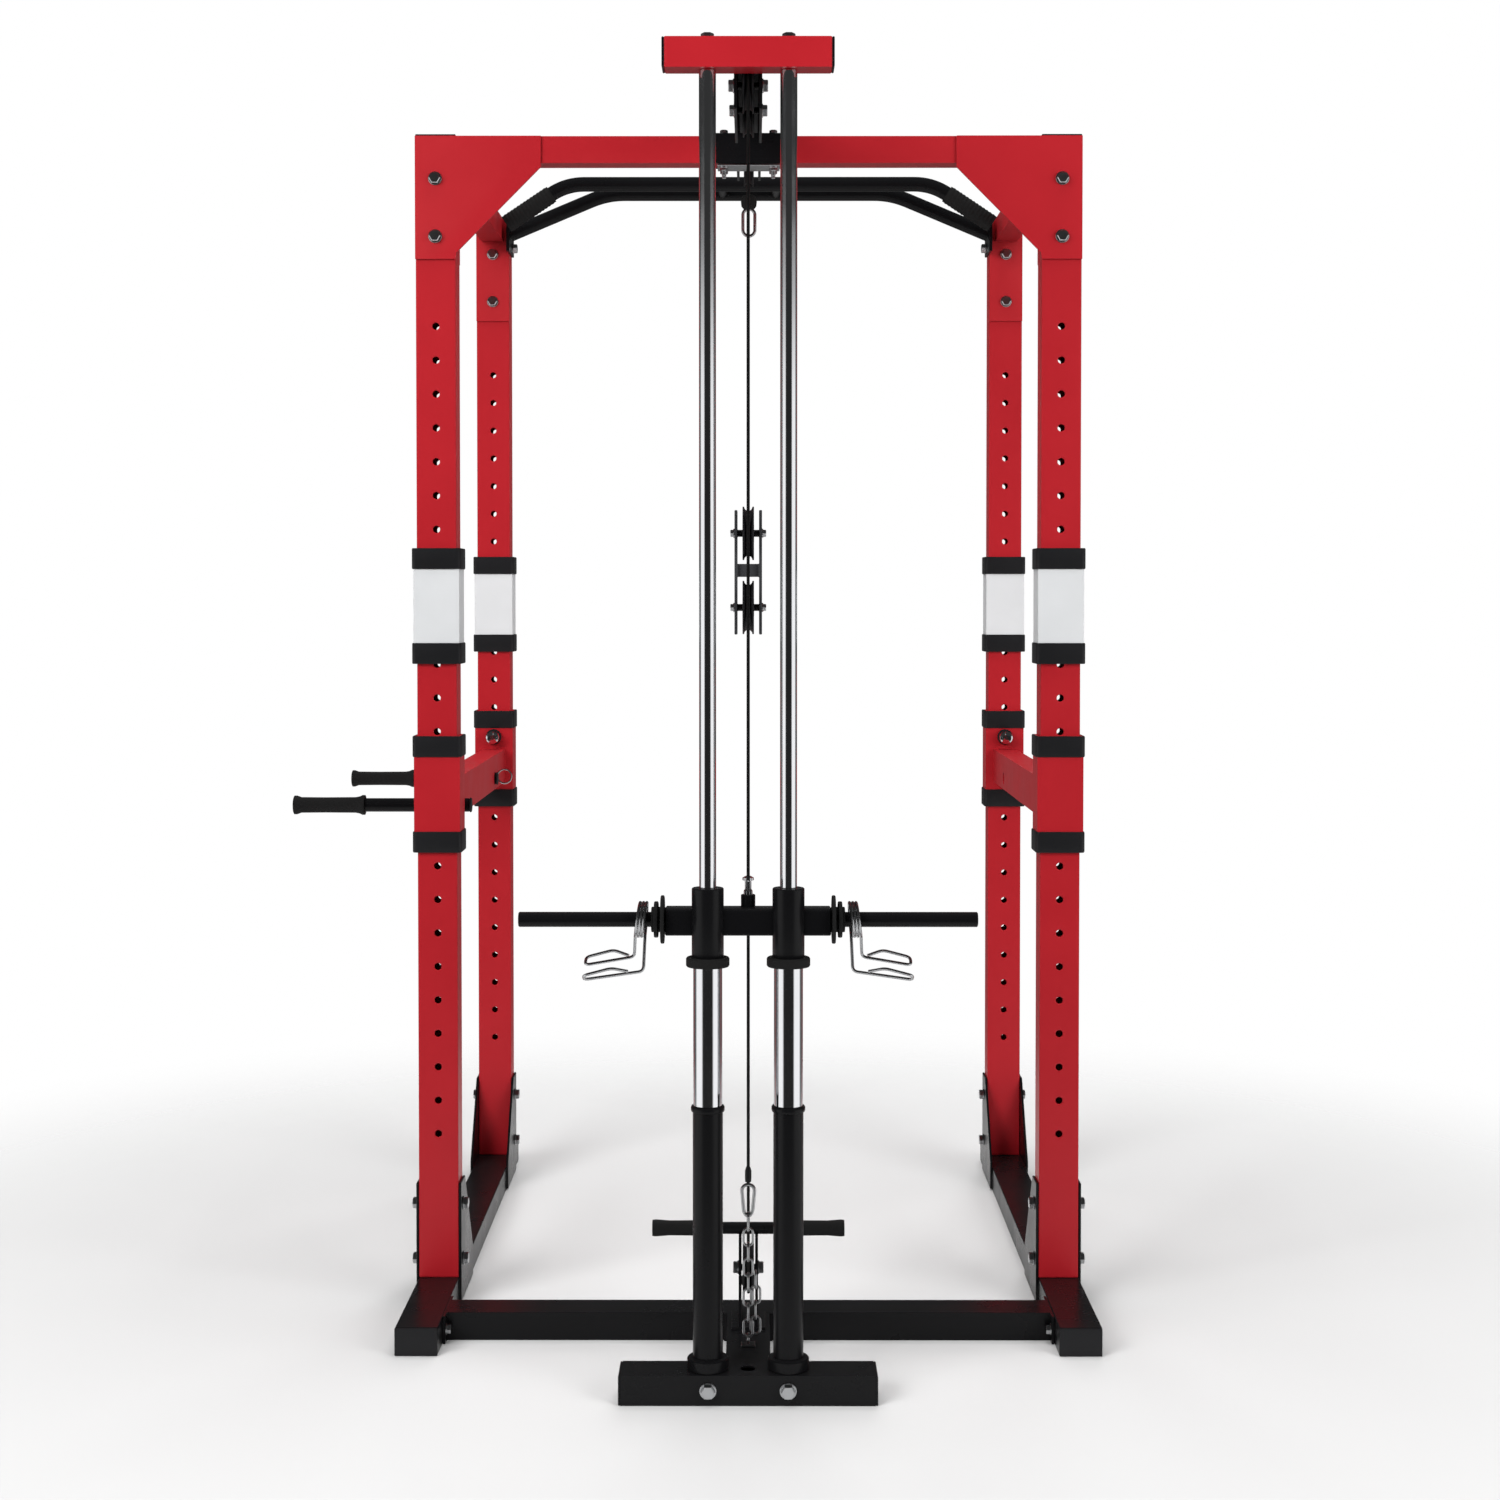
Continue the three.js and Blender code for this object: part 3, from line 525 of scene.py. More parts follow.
FINISHES = (
    Finish(Slot.RED_PAINT, (0.37, 0.012, 0.018), (0.46, 0.06, 0.06), 0.38, coat=0.05, grain_scale=420.0,
           specular=0.25),
    Finish(Slot.BLACK_PAINT, (0.0045, 0.0045, 0.005), (0.05, 0.05, 0.05), 0.25, grain_scale=420.0,
           specular=0.14),
    Finish(Slot.WHITE_PAINT, (0.60, 0.61, 0.62), (0.42, 0.42, 0.42), 0.36, coat=0.1, grain_scale=420.0,
           specular=0.35),
    Finish(Slot.CHROME, (0.80, 0.81, 0.83), (0.6, 0.6, 0.6), 0.07, metallic=1.0, grain_depth=0.000006,
           roughness_spread=0.07, wear=0.1, dust=0.0),
    Finish(Slot.ZINC, (0.56, 0.57, 0.58), (0.40, 0.40, 0.40), 0.26, metallic=1.0, grain_depth=0.00002,
           dust=0.02),
    Finish(Slot.GREY_PAINT, (0.040, 0.041, 0.044), (0.14, 0.14, 0.14), 0.34, coat=0.1, specular=0.4),
    Finish(Slot.RUBBER, (0.009, 0.009, 0.009), (0.03, 0.03, 0.03), 0.68, grain_scale=900.0,
           grain_depth=0.00012, dust=0.08, specular=0.2),
    Finish(Slot.NYLON, (0.010, 0.010, 0.011), (0.05, 0.05, 0.05), 0.42, grain_scale=800.0, specular=0.22),
    Finish(Slot.CABLE_COVER, (0.006, 0.006, 0.006), (0.02, 0.02, 0.02), 0.36, grain_scale=300.0,
           specular=0.15),
)


@dataclass
class Workshop:
    """Holds the finishes and turns surfaces into pieces that ride on the frame."""

    materials: dict[Slot, bpy.types.Material] = field(default_factory=dict)
    smooth_below: float = 32.0
    bevel_above: float = 50.0
    weld_distance: float = 0.00002

    def __post_init__(self) -> None:
        """Builds every finish once."""
        masks = wear_group()
        for finish in FINISHES:
            self.materials[finish.slot] = finish.build(masks)

    def piece(self, name: str, surface: Surface, finish: Slot, body: str | None,
              replaces: tuple[str, ...] = ()) -> bpy.types.Object:
        """Makes one piece and lets it ride on a body.

        Args:
            name: the piece's name.
            surface: its points and faces.
            finish: the slot of its finish.
            body: the body it rides on, or None, which leaves it on no body.
            replaces: frame nodes that it stands for.

        Returns:
            The new object.
        """
        mesh = bpy.data.meshes.new(name)
        mesh.from_pydata(surface.points.tolist(), [], surface.faces)
        mesh.validate()
        mesh.polygons.foreach_set("use_smooth", np.ones(len(mesh.polygons), bool))
        mesh.set_sharp_from_angle(angle=np.radians(self.smooth_below))
        mesh.materials.append(self.materials[finish])
        made = bpy.data.objects.new(name, mesh)
        bpy.context.scene.collection.objects.link(made)
        if body is not None:
            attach(made, body)
        if replaces:
            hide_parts(*replaces)
        LOG.info("piece %s, %d faces, on %s", name, len(surface.faces), body)
        return made

    def dress(self, node: str, finish: Slot, edge: float = 0.0015) -> None:
        """Gives a frame node its finish and softens its edges.

        Args:
            node: the frame node's name.
            finish: the slot of its finish.
            edge: the width of the softened edges.
        """
        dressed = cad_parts[node]
        slots = dressed.data.materials
        if len(slots):
            slots[0] = self.materials[finish]
        else:
            slots.append(self.materials[finish])
        weld = dressed.modifiers.new("weld", "WELD")
        weld.merge_threshold = self.weld_distance
        bevel = dressed.modifiers.new("edges", "BEVEL")
        bevel.width = edge
        bevel.segments = 3
        bevel.limit_method = "ANGLE"
        bevel.angle_limit = np.radians(self.bevel_above)
        bevel.use_clamp_overlap = True
        LOG.info("node %s in %s", node, finish.value)


def centre_of(node: str) -> tuple[float, float, float]:
    """The middle of a frame node's box."""
    low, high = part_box(node)
    return tuple((low + high) / 2)


# ---- the machine's sub-assemblies --------------------------------------------------------
@dataclass
class RackFrame:
    """Posts, beams, rails, their end caps and bolts."""

    shop: Workshop
    cap_depth: float = 0.004
    cap_gap: float = 0.0005
    cap_corner: float = 0.004
    post_width: float = 0.075
    post_x: float = 0.5825
    rail_height: float = 0.050
    gusset_bolt_heights: tuple[float, float] = (2.107, 2.000)
    foot_bolt_heights: tuple[float, float] = (0.184, 0.079)
    foot_plate_faces: tuple[float, float] = (0.540, 0.625)
    base_bolt: tuple[float, float] = (0.066, 0.025)
    crossbeam_bolt: tuple[float, float] = (0.5397, 0.025)
    rod_bolt: tuple[float, float] = (0.0667, -0.335)
    boom_cheek: float = 0.0235
    low_cheek: float = 0.017
    clamp_plate: float = 0.004
    clamp_reach: float = 0.058
    clamp_bolt: tuple[float, float] = (0.046, 0.014)

    def build(self) -> None:
        """Dresses the frame's beams and adds caps and bolts."""
        for side in SIDES:
            self.shop.dress(f"{side}_floor_rail", Slot.BLACK_PAINT, 0.002)
            self.shop.dress(f"{side}_top_rail", Slot.RED_PAINT, 0.002)
            for row in ROWS:
                self.shop.dress(f"{row}_{side}_upright", Slot.RED_PAINT, 0.0022)
        self.shop.dress("rear_floor_crossbeam", Slot.BLACK_PAINT, 0.002)
        self.shop.dress("rear_top_crossbeam", Slot.RED_PAINT, 0.002)
        self.shop.dress("tower_base_frame", Slot.BLACK_PAINT, 0.002)
        self.shop.dress("tower_top_beam", Slot.RED_PAINT, 0.002)
        self.shop.dress("boom_channel", Slot.BLACK_PAINT, 0.0012)
        self.shop.dress("crossbeam_saddle", Slot.BLACK_PAINT, 0.001)
        self.shop.dress("low_pulley_bracket", Slot.BLACK_PAINT, 0.001)
        self._caps()
        self._bolts()

    def _caps(self) -> None:
        """Black caps in the open ends of the floor rails, tower beams and posts."""
        for side in SIDES:
            low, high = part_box(f"{side}_floor_rail")
            middle = (low.x + high.x) / 2
            half = self.post_width / 2
            for name, y, way in (("rear", low.y, -1.0), ("front", high.y, 1.0)):
                surface = slab((middle - half, y, self.cap_gap),
                               (middle + half, y + way * self.cap_depth, self.rail_height - self.cap_gap),
                               self.cap_corner)
                self.shop.piece(f"{side}_rail_{name}_cap", surface, Slot.NYLON, "frame")
            for row in ROWS:
                low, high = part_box(f"{row}_{side}_upright")
                surface = slab((low.x, low.y, high.z), (high.x, high.y, high.z + self.cap_depth),
                               self.cap_corner)
                self.shop.piece(f"{row}_{side}_post_cap", surface, Slot.NYLON, "frame")
        for node in ("tower_base_frame", "tower_top_beam"):
            low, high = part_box(node)
            depth = self.post_width if node == "tower_base_frame" else high.y - low.y
            for name, x, way in (("left", low.x, -1.0), ("right", high.x, 1.0)):
                surface = slab((x, low.y, low.z + self.cap_gap),
                               (x + way * self.cap_depth, low.y + depth, high.z - self.cap_gap),
                               self.cap_corner)
                self.shop.piece(f"{node}_{name}_cap", surface, Slot.NYLON, "frame")

    def _bolts(self) -> None:
        """Hexagon bolts through gussets, flanges, foot plates and the tower's beams."""
        bolts: list[Surface] = []
        crossbeam_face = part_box("rear_top_crossbeam")[0].y
        flange_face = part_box("left_top_rail")[1].y - 0.005
        post_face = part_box("front_left_upright")[1].y
        inner, outer = self.foot_plate_faces
        for sign in SIDES.values():
            x = sign * self.post_x
            for z in self.gusset_bolt_heights:
                bolts.append(hexagon_bolt((x, crossbeam_face, z), Axis.Y, -1.0))
                bolts.append(hexagon_bolt((x, flange_face, z), Axis.Y, -1.0))
                bolts.append(hexagon_bolt((x, post_face, z), Axis.Y, 1.0))
            for row in ROWS:
                _, y, _ = centre_of(f"{row}_left_upright")
                for z in self.foot_bolt_heights:
                    bolts.append(hexagon_bolt((sign * inner, y, z), Axis.X, -sign))
                    bolts.append(hexagon_bolt((sign * outer, y, z), Axis.X, sign))
            x, z = self.base_bolt
            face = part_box("tower_base_frame")[0].y
            bolts.append(hexagon_bolt((sign * x, face, z), Axis.Y, -1.0, BoltSize.BASE))
            x, y = self.rod_bolt
            bolts.append(hexagon_bolt((sign * x, y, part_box("tower_top_beam")[1].z), Axis.Z, 1.0))
            x, z = self.crossbeam_bolt
            for y in (-0.05, 0.05):
                bolts.append(hexagon_bolt((sign * x, y, z), Axis.X, -sign, BoltSize.BRACE))
        for node, half in (("first_boom_pulley", self.boom_cheek), ("second_boom_pulley", self.boom_cheek),
                           ("lat_pulley", self.boom_cheek), ("low_pulley", self.low_cheek)):
            _, y, z = centre_of(node)
            bolts.extend(hexagon_bolt((sign * half, y, z), Axis.X, sign, BoltSize.AXLE)
                         for sign in SIDES.values())
        self.shop.piece("frame_bolts", together(bolts), Slot.ZINC, "frame")
        self._saddle_clamp()

    def _saddle_clamp(self) -> None:
        """The bright plate under the crossbeam that four bolts pull up against the boom's saddle."""
        low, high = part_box("crossbeam_saddle")
        beneath = low.z - 0.0006
        under = beneath - self.clamp_plate
        reach = self.clamp_reach
        bolt_x, inset = self.clamp_bolt
        parts = [slab((-reach, low.y, under), (reach, high.y, beneath), 0.0012)]
        for sign in SIDES.values():
            x = sign * bolt_x
            for y in (low.y + inset, high.y - inset):
                parts.append(hexagon_bolt((x, y, high.z), Axis.Z, 1.0, BoltSize.CLAMP))
                parts.append(hexagon_bolt((x, y, under), Axis.Z, -1.0, BoltSize.CLAMP))
                parts.append(shaft(under, under - 0.016, 0.004, (x, y, 0.0), Axis.Z, 0.0006, 20))
        self.shop.piece("saddle_clamp", together(parts), Slot.ZINC, "frame")


@dataclass
class PullUpStation:
    """The two gull-wing tubes, their struts, end plates and rubber grips."""

    shop: Workshop
    radius: float = 0.016
    level: float = 2.240
    bend_radius: float = 0.040
    strut_x: float = 0.060
    grip_length: float = 0.120
    rib_count: int = 14

    def build(self) -> None:
        """Builds the bar and its grips."""
        far = self._tube(1.097, 0.321, 0.5405, 2.148)
        near = self._tube(0.977, 0.404, 0.536, 2.152)
        parts = [carried(far, circle(self.radius, 28)), carried(near, circle(self.radius, 28))]
        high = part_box("pull_up_bar")[1]
        for sign in SIDES.values():
            parts.append(shaft(0.977, 1.097, 0.012, (sign * self.strut_x, 0.0, self.level), Axis.Y))
            parts.append(slab((sign * 0.540, 1.071, 2.108), (sign * high.x, high.y, 2.184), 0.001))
        self.shop.piece("gull_wing_bar", together(parts), Slot.BLACK_PAINT, "frame", ("pull_up_bar",))
        bolts = [hexagon_bolt((sign * 0.540, 1.152, z), Axis.X, -sign) for sign in SIDES.values()
                 for z in (2.125, 2.165)]
        self.shop.piece("pull_up_bolts", together(bolts), Slot.ZINC, "frame")
        for side, sign in SIDES.items():
            self._grip(side, sign, near)

    def _tube(self, y: float, bend: float, end: float, end_z: float) -> np.ndarray:
        """The route of one gull-wing tube: level in the middle, with its wings bent down.

        Args:
            y: the depth that the tube lies at.
            bend: how far from the middle its wings start.
            end: how far from the middle its ends are.
            end_z: the height of its ends.

        Returns:
            Points of the route from the left end to the right end.
        """
        corners = np.array([[-end, y, end_z], [-bend, y, self.level],
                            [bend, y, self.level], [end, y, end_z]])
        return smooth_route(corners, self.bend_radius)

    def _grip(self, side: str, sign: float, route: np.ndarray) -> None:
        """A rubber sleeve on one tip of the near tube, whose radius waves along it as ribs.

        Args:
            side: the side's name.
            sign: -1 on the left and 1 on the right.
            route: the near tube's route.
        """
        tip, inward = (route[0], route[1]) if sign < 0 else (route[-1], route[-2])
        along = (inward - tip) / np.linalg.norm(inward - tip)
        step = np.linspace(0.0, self.grip_length, 61)
        path = tip + along * step[:, None]
        ribs = 0.0035 + 0.0006 * np.cos(step / self.grip_length * FULL_TURN * self.rib_count)
        ribs[:2], ribs[-2:] = 0.003, 0.003
        unit = circle(1.0, 28)
        surface = carried(path, unit)
        ring = surface.points.reshape(len(step), len(unit), 3)
        centre = path[:, None, :]
        surface.points = (centre + (ring - centre) * (self.radius + ribs)[:, None, None]).reshape(-1, 3)
        self.shop.piece(f"{side}_bar_grip", surface, Slot.RUBBER, "frame", (f"{side}_pull_up_grip",))


@dataclass
class SlidingSleeves:
    """White sleeves, red safety bars, their bands, pins and dip handles."""

    shop: Workshop
    band_height: float = 0.039
    band_stand: float = 0.003
    ring_place: tuple[float, float, float] = (-0.5400, 0.945, 0.934)
    ring_radius: float = 0.0155
    ring_wire: float = 0.0018
    far_handle_end: float = -0.5545

    def build(self) -> None:
        """Dresses the sleeves and bars and adds bands, pins and handles."""
        for side in SIDES:
            self.shop.dress(f"{side}_safety_bar", Slot.RED_PAINT, 0.0015)
            for row, inward in ROWS.items():
                self.shop.dress(f"{row}_{side}_slider", Slot.WHITE_PAINT, 0.003)
                low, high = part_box(f"{row}_{side}_slider")
                self._bands(f"{row}_{side}_slider", low, high, f"{row}_{side}_sleeve")
                red_low, red_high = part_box(f"{side}_safety_bar")
                low.z, high.z = red_low.z, red_high.z
                self._bands(f"{row}_{side}_safety", low, high, f"{side}_safety")
                self._pin(row, side, inward)
        self._dip_handles()
        self._pull_ring()

    def _pull_ring(self) -> None:
        """The wire ring on the far dip handle's lock, flat against the left bar's inner face."""
        angle = np.linspace(0.0, FULL_TURN, 48, endpoint=False)
        x, y, z = self.ring_place
        ring = np.column_stack([x + self.ring_radius * np.cos(angle), np.full(len(angle), y),
                                z + self.ring_radius * np.sin(angle)])
        surface = carried(ring, circle(self.ring_wire, 12), closed=True)
        self.shop.piece("dip_handle_ring", surface, Slot.ZINC, "left_safety")

    def _bands(self, name: str, low: object, high: object, body: str) -> None:
        """Two rounded black bands around the ends of one sleeve.

        Args:
            name: the sleeve's name.
            low: the low corner of the sleeve's box.
            high: the high corner of the sleeve's box.
            body: the body that the bands ride on.
        """
        middle = np.array([(low.x + high.x) / 2, (low.y + high.y) / 2])
        width, depth = high.x - low.x, high.y - low.y
        stand, height = self.band_stand, self.band_height
        rise = np.array([[0.0, 0.0], [stand * 0.7, 0.0], [stand, 0.002], [stand, height - 0.002],
                         [stand * 0.7, height], [0.0, height]])
        surfaces = []
        for base in (low.z, high.z - height):
            rings = []
            for out, up in rise:
                outline = rounded_box_outline(width + 2 * out + 0.0002, depth + 2 * out + 0.0002, 0.005 + out)
                rings.append(np.column_stack([outline + middle, np.full(len(outline), base + up)]))
            inner = rounded_box_outline(width - 0.002, depth - 0.002, 0.004)
            rings.append(np.column_stack([inner + middle, np.full(len(inner), base + height)]))
            rings.append(np.column_stack([inner + middle, np.full(len(inner), base)]))
            surfaces.append(facing_out(Surface(np.vstack(rings), grid_faces(len(rings), len(inner), True))))
        self.shop.piece(f"{name}_bands", together(surfaces), Slot.NYLON, body)

    def _pin(self, row: str, side: str, inward: float) -> None:
        """A pop pin: chrome knob with a domed end on a black collar.

        Args:
            row: the row of posts, rear or front.
            side: the side's name.
            inward: 1 or -1, the way the knob points along Y.
        """
        node = f"{row}_{side}_pop_pin"
        low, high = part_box(node)
        x, z = (low.x + high.x) / 2, (low.z + high.z) / 2
        start, end = (low.y, high.y) if inward > 0 else (high.y, low.y)
        length = abs(end - start)
        profile = [(0.0055, 0.0), (0.0055, 0.0049), (0.011, 0.0050), (0.0125, 0.0065), (0.0125, 0.0200),
                   (0.0148, 0.0215), (0.0150, 0.0230), (0.0150, length - 0.005), (0.0140, length - 0.0022),
                   (0.0105, length - 0.0006), (0.0050, length)]
        surface = turned([(r, inward * h) for r, h in profile], (x, start, z), Axis.Y, 36)
        self.shop.piece(f"{row}_{side}_pin", surface, Slot.CHROME, f"{row}_{side}_pin", (node,))
        profile = [(0.0135, 0.0052), (0.0165, 0.0052), (0.0175, 0.007), (0.0175, 0.016),
                   (0.0160, 0.0185), (0.0135, 0.0185)]
        collar = turned([(r, inward * h) for r, h in profile], (x, start, z), Axis.Y, 36, closed=True)
        self.shop.piece(f"{row}_{side}_pin_collar", collar, Slot.NYLON, f"{side}_safety")

    def _dip_handles(self) -> None:
        """Two tubes through the left safety bar with flared rubber grips; the far one ends flush."""
        for node in ("near_dip_handle", "far_dip_handle"):
            low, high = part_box(node)
            high.x = min(high.x, self.far_handle_end) if node == "far_dip_handle" else high.x
            y, z = (low.y + high.y) / 2, (low.z + high.z) / 2
            tube = shaft(low.x + 0.006, high.x, 0.013, (0.0, y, z), Axis.X, 0.0015)
            self.shop.piece(f"{node}_tube", tube, Slot.BLACK_PAINT, "left_safety", (node,))
            out = -low.x
            profile = [(0.0132, out - 0.136), (0.0190, out - 0.136), (0.0190, out - 0.131),
                       (0.0165, out - 0.126), (0.0150, out - 0.118), (0.0146, out - 0.060),
                       (0.0150, out - 0.014), (0.0180, out - 0.006), (0.0180, out - 0.001), (0.0160, out)]
            grip = turned([(r, -h) for r, h in profile], (0.0, y, z), Axis.X, 36)
            self.shop.piece(f"{node}_grip", grip, Slot.RUBBER, "left_safety")
            cap = shaft(0.0, 0.004, 0.0140, (high.x, y, z), Axis.X, 0.0012)
            self.shop.piece(f"{node}_cap", cap, Slot.NYLON, "left_safety")


@dataclass
class GuideTower:
    """Guide rods, stop tubes, stop sleeves and the foot bar."""

    shop: Workshop
    rod_radius: float = 0.014
    bore: float = 0.0147
    foot_bar_radius: float = 0.0105

    def build(self) -> None:
        """Builds the round parts of the tower."""
        for side in SIDES:
            x, y, _ = centre_of(f"{side}_guide_rod")
            low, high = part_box(f"{side}_guide_rod")
            rod = shaft(low.z, high.z, self.rod_radius, (x, y, 0.0), Axis.Z)
            self.shop.piece(f"{side}_rod", rod, Slot.CHROME, "frame", (f"{side}_guide_rod",))
            low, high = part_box(f"{side}_stop_tube")
            profile = [(self.bore, low.z), (0.0335, low.z), (0.0345, low.z + 0.001), (0.0345, 0.068),
                       (0.0330, 0.070), (0.0250, 0.0705), (0.0250, high.z - 0.010),
                       (0.0272, high.z - 0.009), (0.0280, high.z - 0.007), (0.0280, high.z - 0.002),
                       (0.0268, high.z), (self.bore, high.z)]
            tube = turned(profile, (x, y, 0.0), Axis.Z, 48, closed=True)
            self.shop.piece(f"{side}_stop", tube, Slot.BLACK_PAINT, "frame", (f"{side}_stop_tube",))
            low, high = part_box(f"{side}_stop_sleeve")
            profile = [(self.bore, low.z), (0.0232, low.z), (0.0240, low.z + 0.001),
                       (0.0240, high.z - 0.001), (0.0232, high.z), (self.bore, high.z)]
            sleeve = turned(profile, (x, y, 0.0), Axis.Z, 48, closed=True)
            self.shop.piece(f"{side}_sleeve", sleeve, Slot.CHROME, "frame", (f"{side}_stop_sleeve",))
        self._foot_bar()

    def _foot_bar(self) -> None:
        """A straight bar with a flared rubber sleeve at each end."""
        low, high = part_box("foot_bar")
        y, z, half = (low.y + high.y) / 2, (low.z + high.z) / 2, high.x
        bar = shaft(-half + 0.004, half - 0.004, self.foot_bar_radius, (0.0, y, z), Axis.X)
        self.shop.piece("foot_bar_tube", bar, Slot.BLACK_PAINT, "frame", ("foot_bar",))
        for side, sign in SIDES.items():
            profile = [(0.0106, half - 0.110), (0.0150, half - 0.110), (0.0150, half - 0.104),
                       (0.0135, half - 0.098), (0.0130, half - 0.030), (0.0148, half - 0.006),
                       (0.0140, half)]
            grip = turned([(r, sign * h) for r, h in profile], (0.0, y, z), Axis.X, 36)
            self.shop.piece(f"foot_bar_{side}_grip", grip, Slot.RUBBER, "frame")


@dataclass
class Carriage:
    """The weight carriage with its bushes, horns, discs and spring collars."""

    shop: Workshop
    rod_x: float = 0.0667
    rod_y: float = -0.335
    horn: tuple[float, float, float] = (0.0, -0.317, 0.795)
    bore: float = 0.0147
    bush_top: float = 0.850
    horn_radius: float = 0.0125
    socket_y: float = -0.303
    spring_wire: float = 0.0026
    spring_radius: float = 0.0280
    spring_turns: int = 3
    spring_lean: float = 0.10

    def build(self) -> None:
        """Builds the carriage and its collars."""
        low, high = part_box("weight_carriage")
        parts = [slab((-0.137, -0.342, 0.771), (0.137, -0.292, 0.815), 0.004)]
        flanges: list[Surface] = []
        for sign in SIDES.values():
            centre = (sign * self.rod_x, self.rod_y, 0.0)
            top = self.bush_top
            bush = [(self.bore, 0.7352), (0.0255, 0.7352), (0.0265, 0.737), (0.0265, top - 0.0015),
                    (0.0252, top), (self.bore, top)]
            parts.append(turned(bush, centre, Axis.Z, 48, closed=True))
            pad = [(self.bore, low.z), (0.0345, low.z), (0.0360, low.z + 0.002), (0.0360, 0.733),
                   (0.0345, 0.735), (self.bore, 0.735)]
            flanges.append(turned(pad, centre, Axis.Z, 48, closed=True))
            parts.append(shaft(sign * 0.130, sign * high.x, self.horn_radius, self.horn, Axis.X, 0.0015))
            flanges.append(shaft(sign * 0.139, sign * 0.145, 0.040, self.horn, Axis.X, 0.0012, 56))
            flanges.append(shaft(sign * 0.149, sign * 0.156, 0.030, self.horn, Axis.X, 0.0012, 48))
            flanges.append(shaft(sign * 0.137, sign * 0.1605, 0.021, self.horn, Axis.X, 0.0010, 40))
        foot = (0.0, self.socket_y, 0.0)
        parts.append(shaft(0.813, 0.835, 0.012, foot, Axis.Z))
        socket = [(0.0075, 0.834), (0.0075, 0.841), (0.0055, 0.844), (0.0055, 0.857),
                  (0.0095, 0.859), (0.0095, 0.863), (0.0040, high.z)]
        self.shop.piece("carriage_beam", together(parts), Slot.BLACK_PAINT, "carriage", ("weight_carriage",))
        self.shop.piece("carriage_pads", together(flanges), Slot.RUBBER, "carriage")
        self.shop.piece("carriage_cable_socket", turned(socket, foot, Axis.Z, 32), Slot.CHROME, "carriage")
        for side, sign in SIDES.items():
            self._collar(side, sign)

    def _collar(self, side: str, sign: float) -> None:
        """A coiled spring collar: a leaning helix round the horn, with a flat wire loop at each end.

        The helix leans because its points shift along the horn in step with their height.

        Args:
            side: the side's name.
            sign: -1 on the left and 1 on the right.
        """
        low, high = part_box(f"{side}_spring_collar")
        inner, outer = (low.x, high.x) if sign > 0 else (high.x, low.x)
        wire, radius = self.spring_wire, self.spring_radius
        turns, lean = self.spring_turns, self.spring_lean
        turn = np.linspace(0.0, turns * FULL_TURN, turns * 36 + 1) - np.pi / 2
        share = np.linspace(0.0, 1.0, len(turn))
        across, height = radius * np.cos(turn), radius * np.sin(turn)
        room = outer - inner - sign * (2 * wire + 2 * radius * lean)
        along = inner + sign * (wire + radius * lean) + room * share - sign * lean * height
        helix = np.column_stack([along, self.horn[1] + across, self.horn[2] + height])
        first = self._loop(helix[0], sign, -0.014, 0.056, 0.100)[::-1]
        last = self._loop(helix[-1], sign, 0.012, 0.036, 0.084)
        path = np.vstack([first, helix, last])
        self.shop.piece(f"{side}_spring", carried(path, circle(wire, 10)), Slot.ZINC, f"{side}_collar",
                        (f"{side}_spring_collar",))

    def _loop(self, start: np.ndarray, sign: float, aside: float, drop: float, reach: float) -> np.ndarray:
        """The handle at one end of the spring: down, outward, round a long loop and back.

        Args:
            start: the end of the helix that it carries on from.
            sign: which way is outward along X.
            aside: how far the handle stands to one side, along Y.
            drop: how far down its flat part lies below the coil.
            reach: how far out its end lies from the start.

        Returns:
            Points from just after the helix to the free end.
        """
        wide, tilt = 0.020, 0.014
        way = np.sign(aside)
        corners = np.array([
            [0.0, 0.0, 0.0], [sign * 0.002, aside, -drop], [sign * reach, aside, -drop - tilt],
            [sign * reach, aside + way * wide, -drop - tilt + 0.010],
            [sign * (reach - 0.046), aside + way * wide, -drop - tilt + 0.022],
            [sign * (reach - 0.072), aside + way * 0.007, -drop + 0.001]])
        return smooth_route(start + corners, 0.0085, 7)[1:]


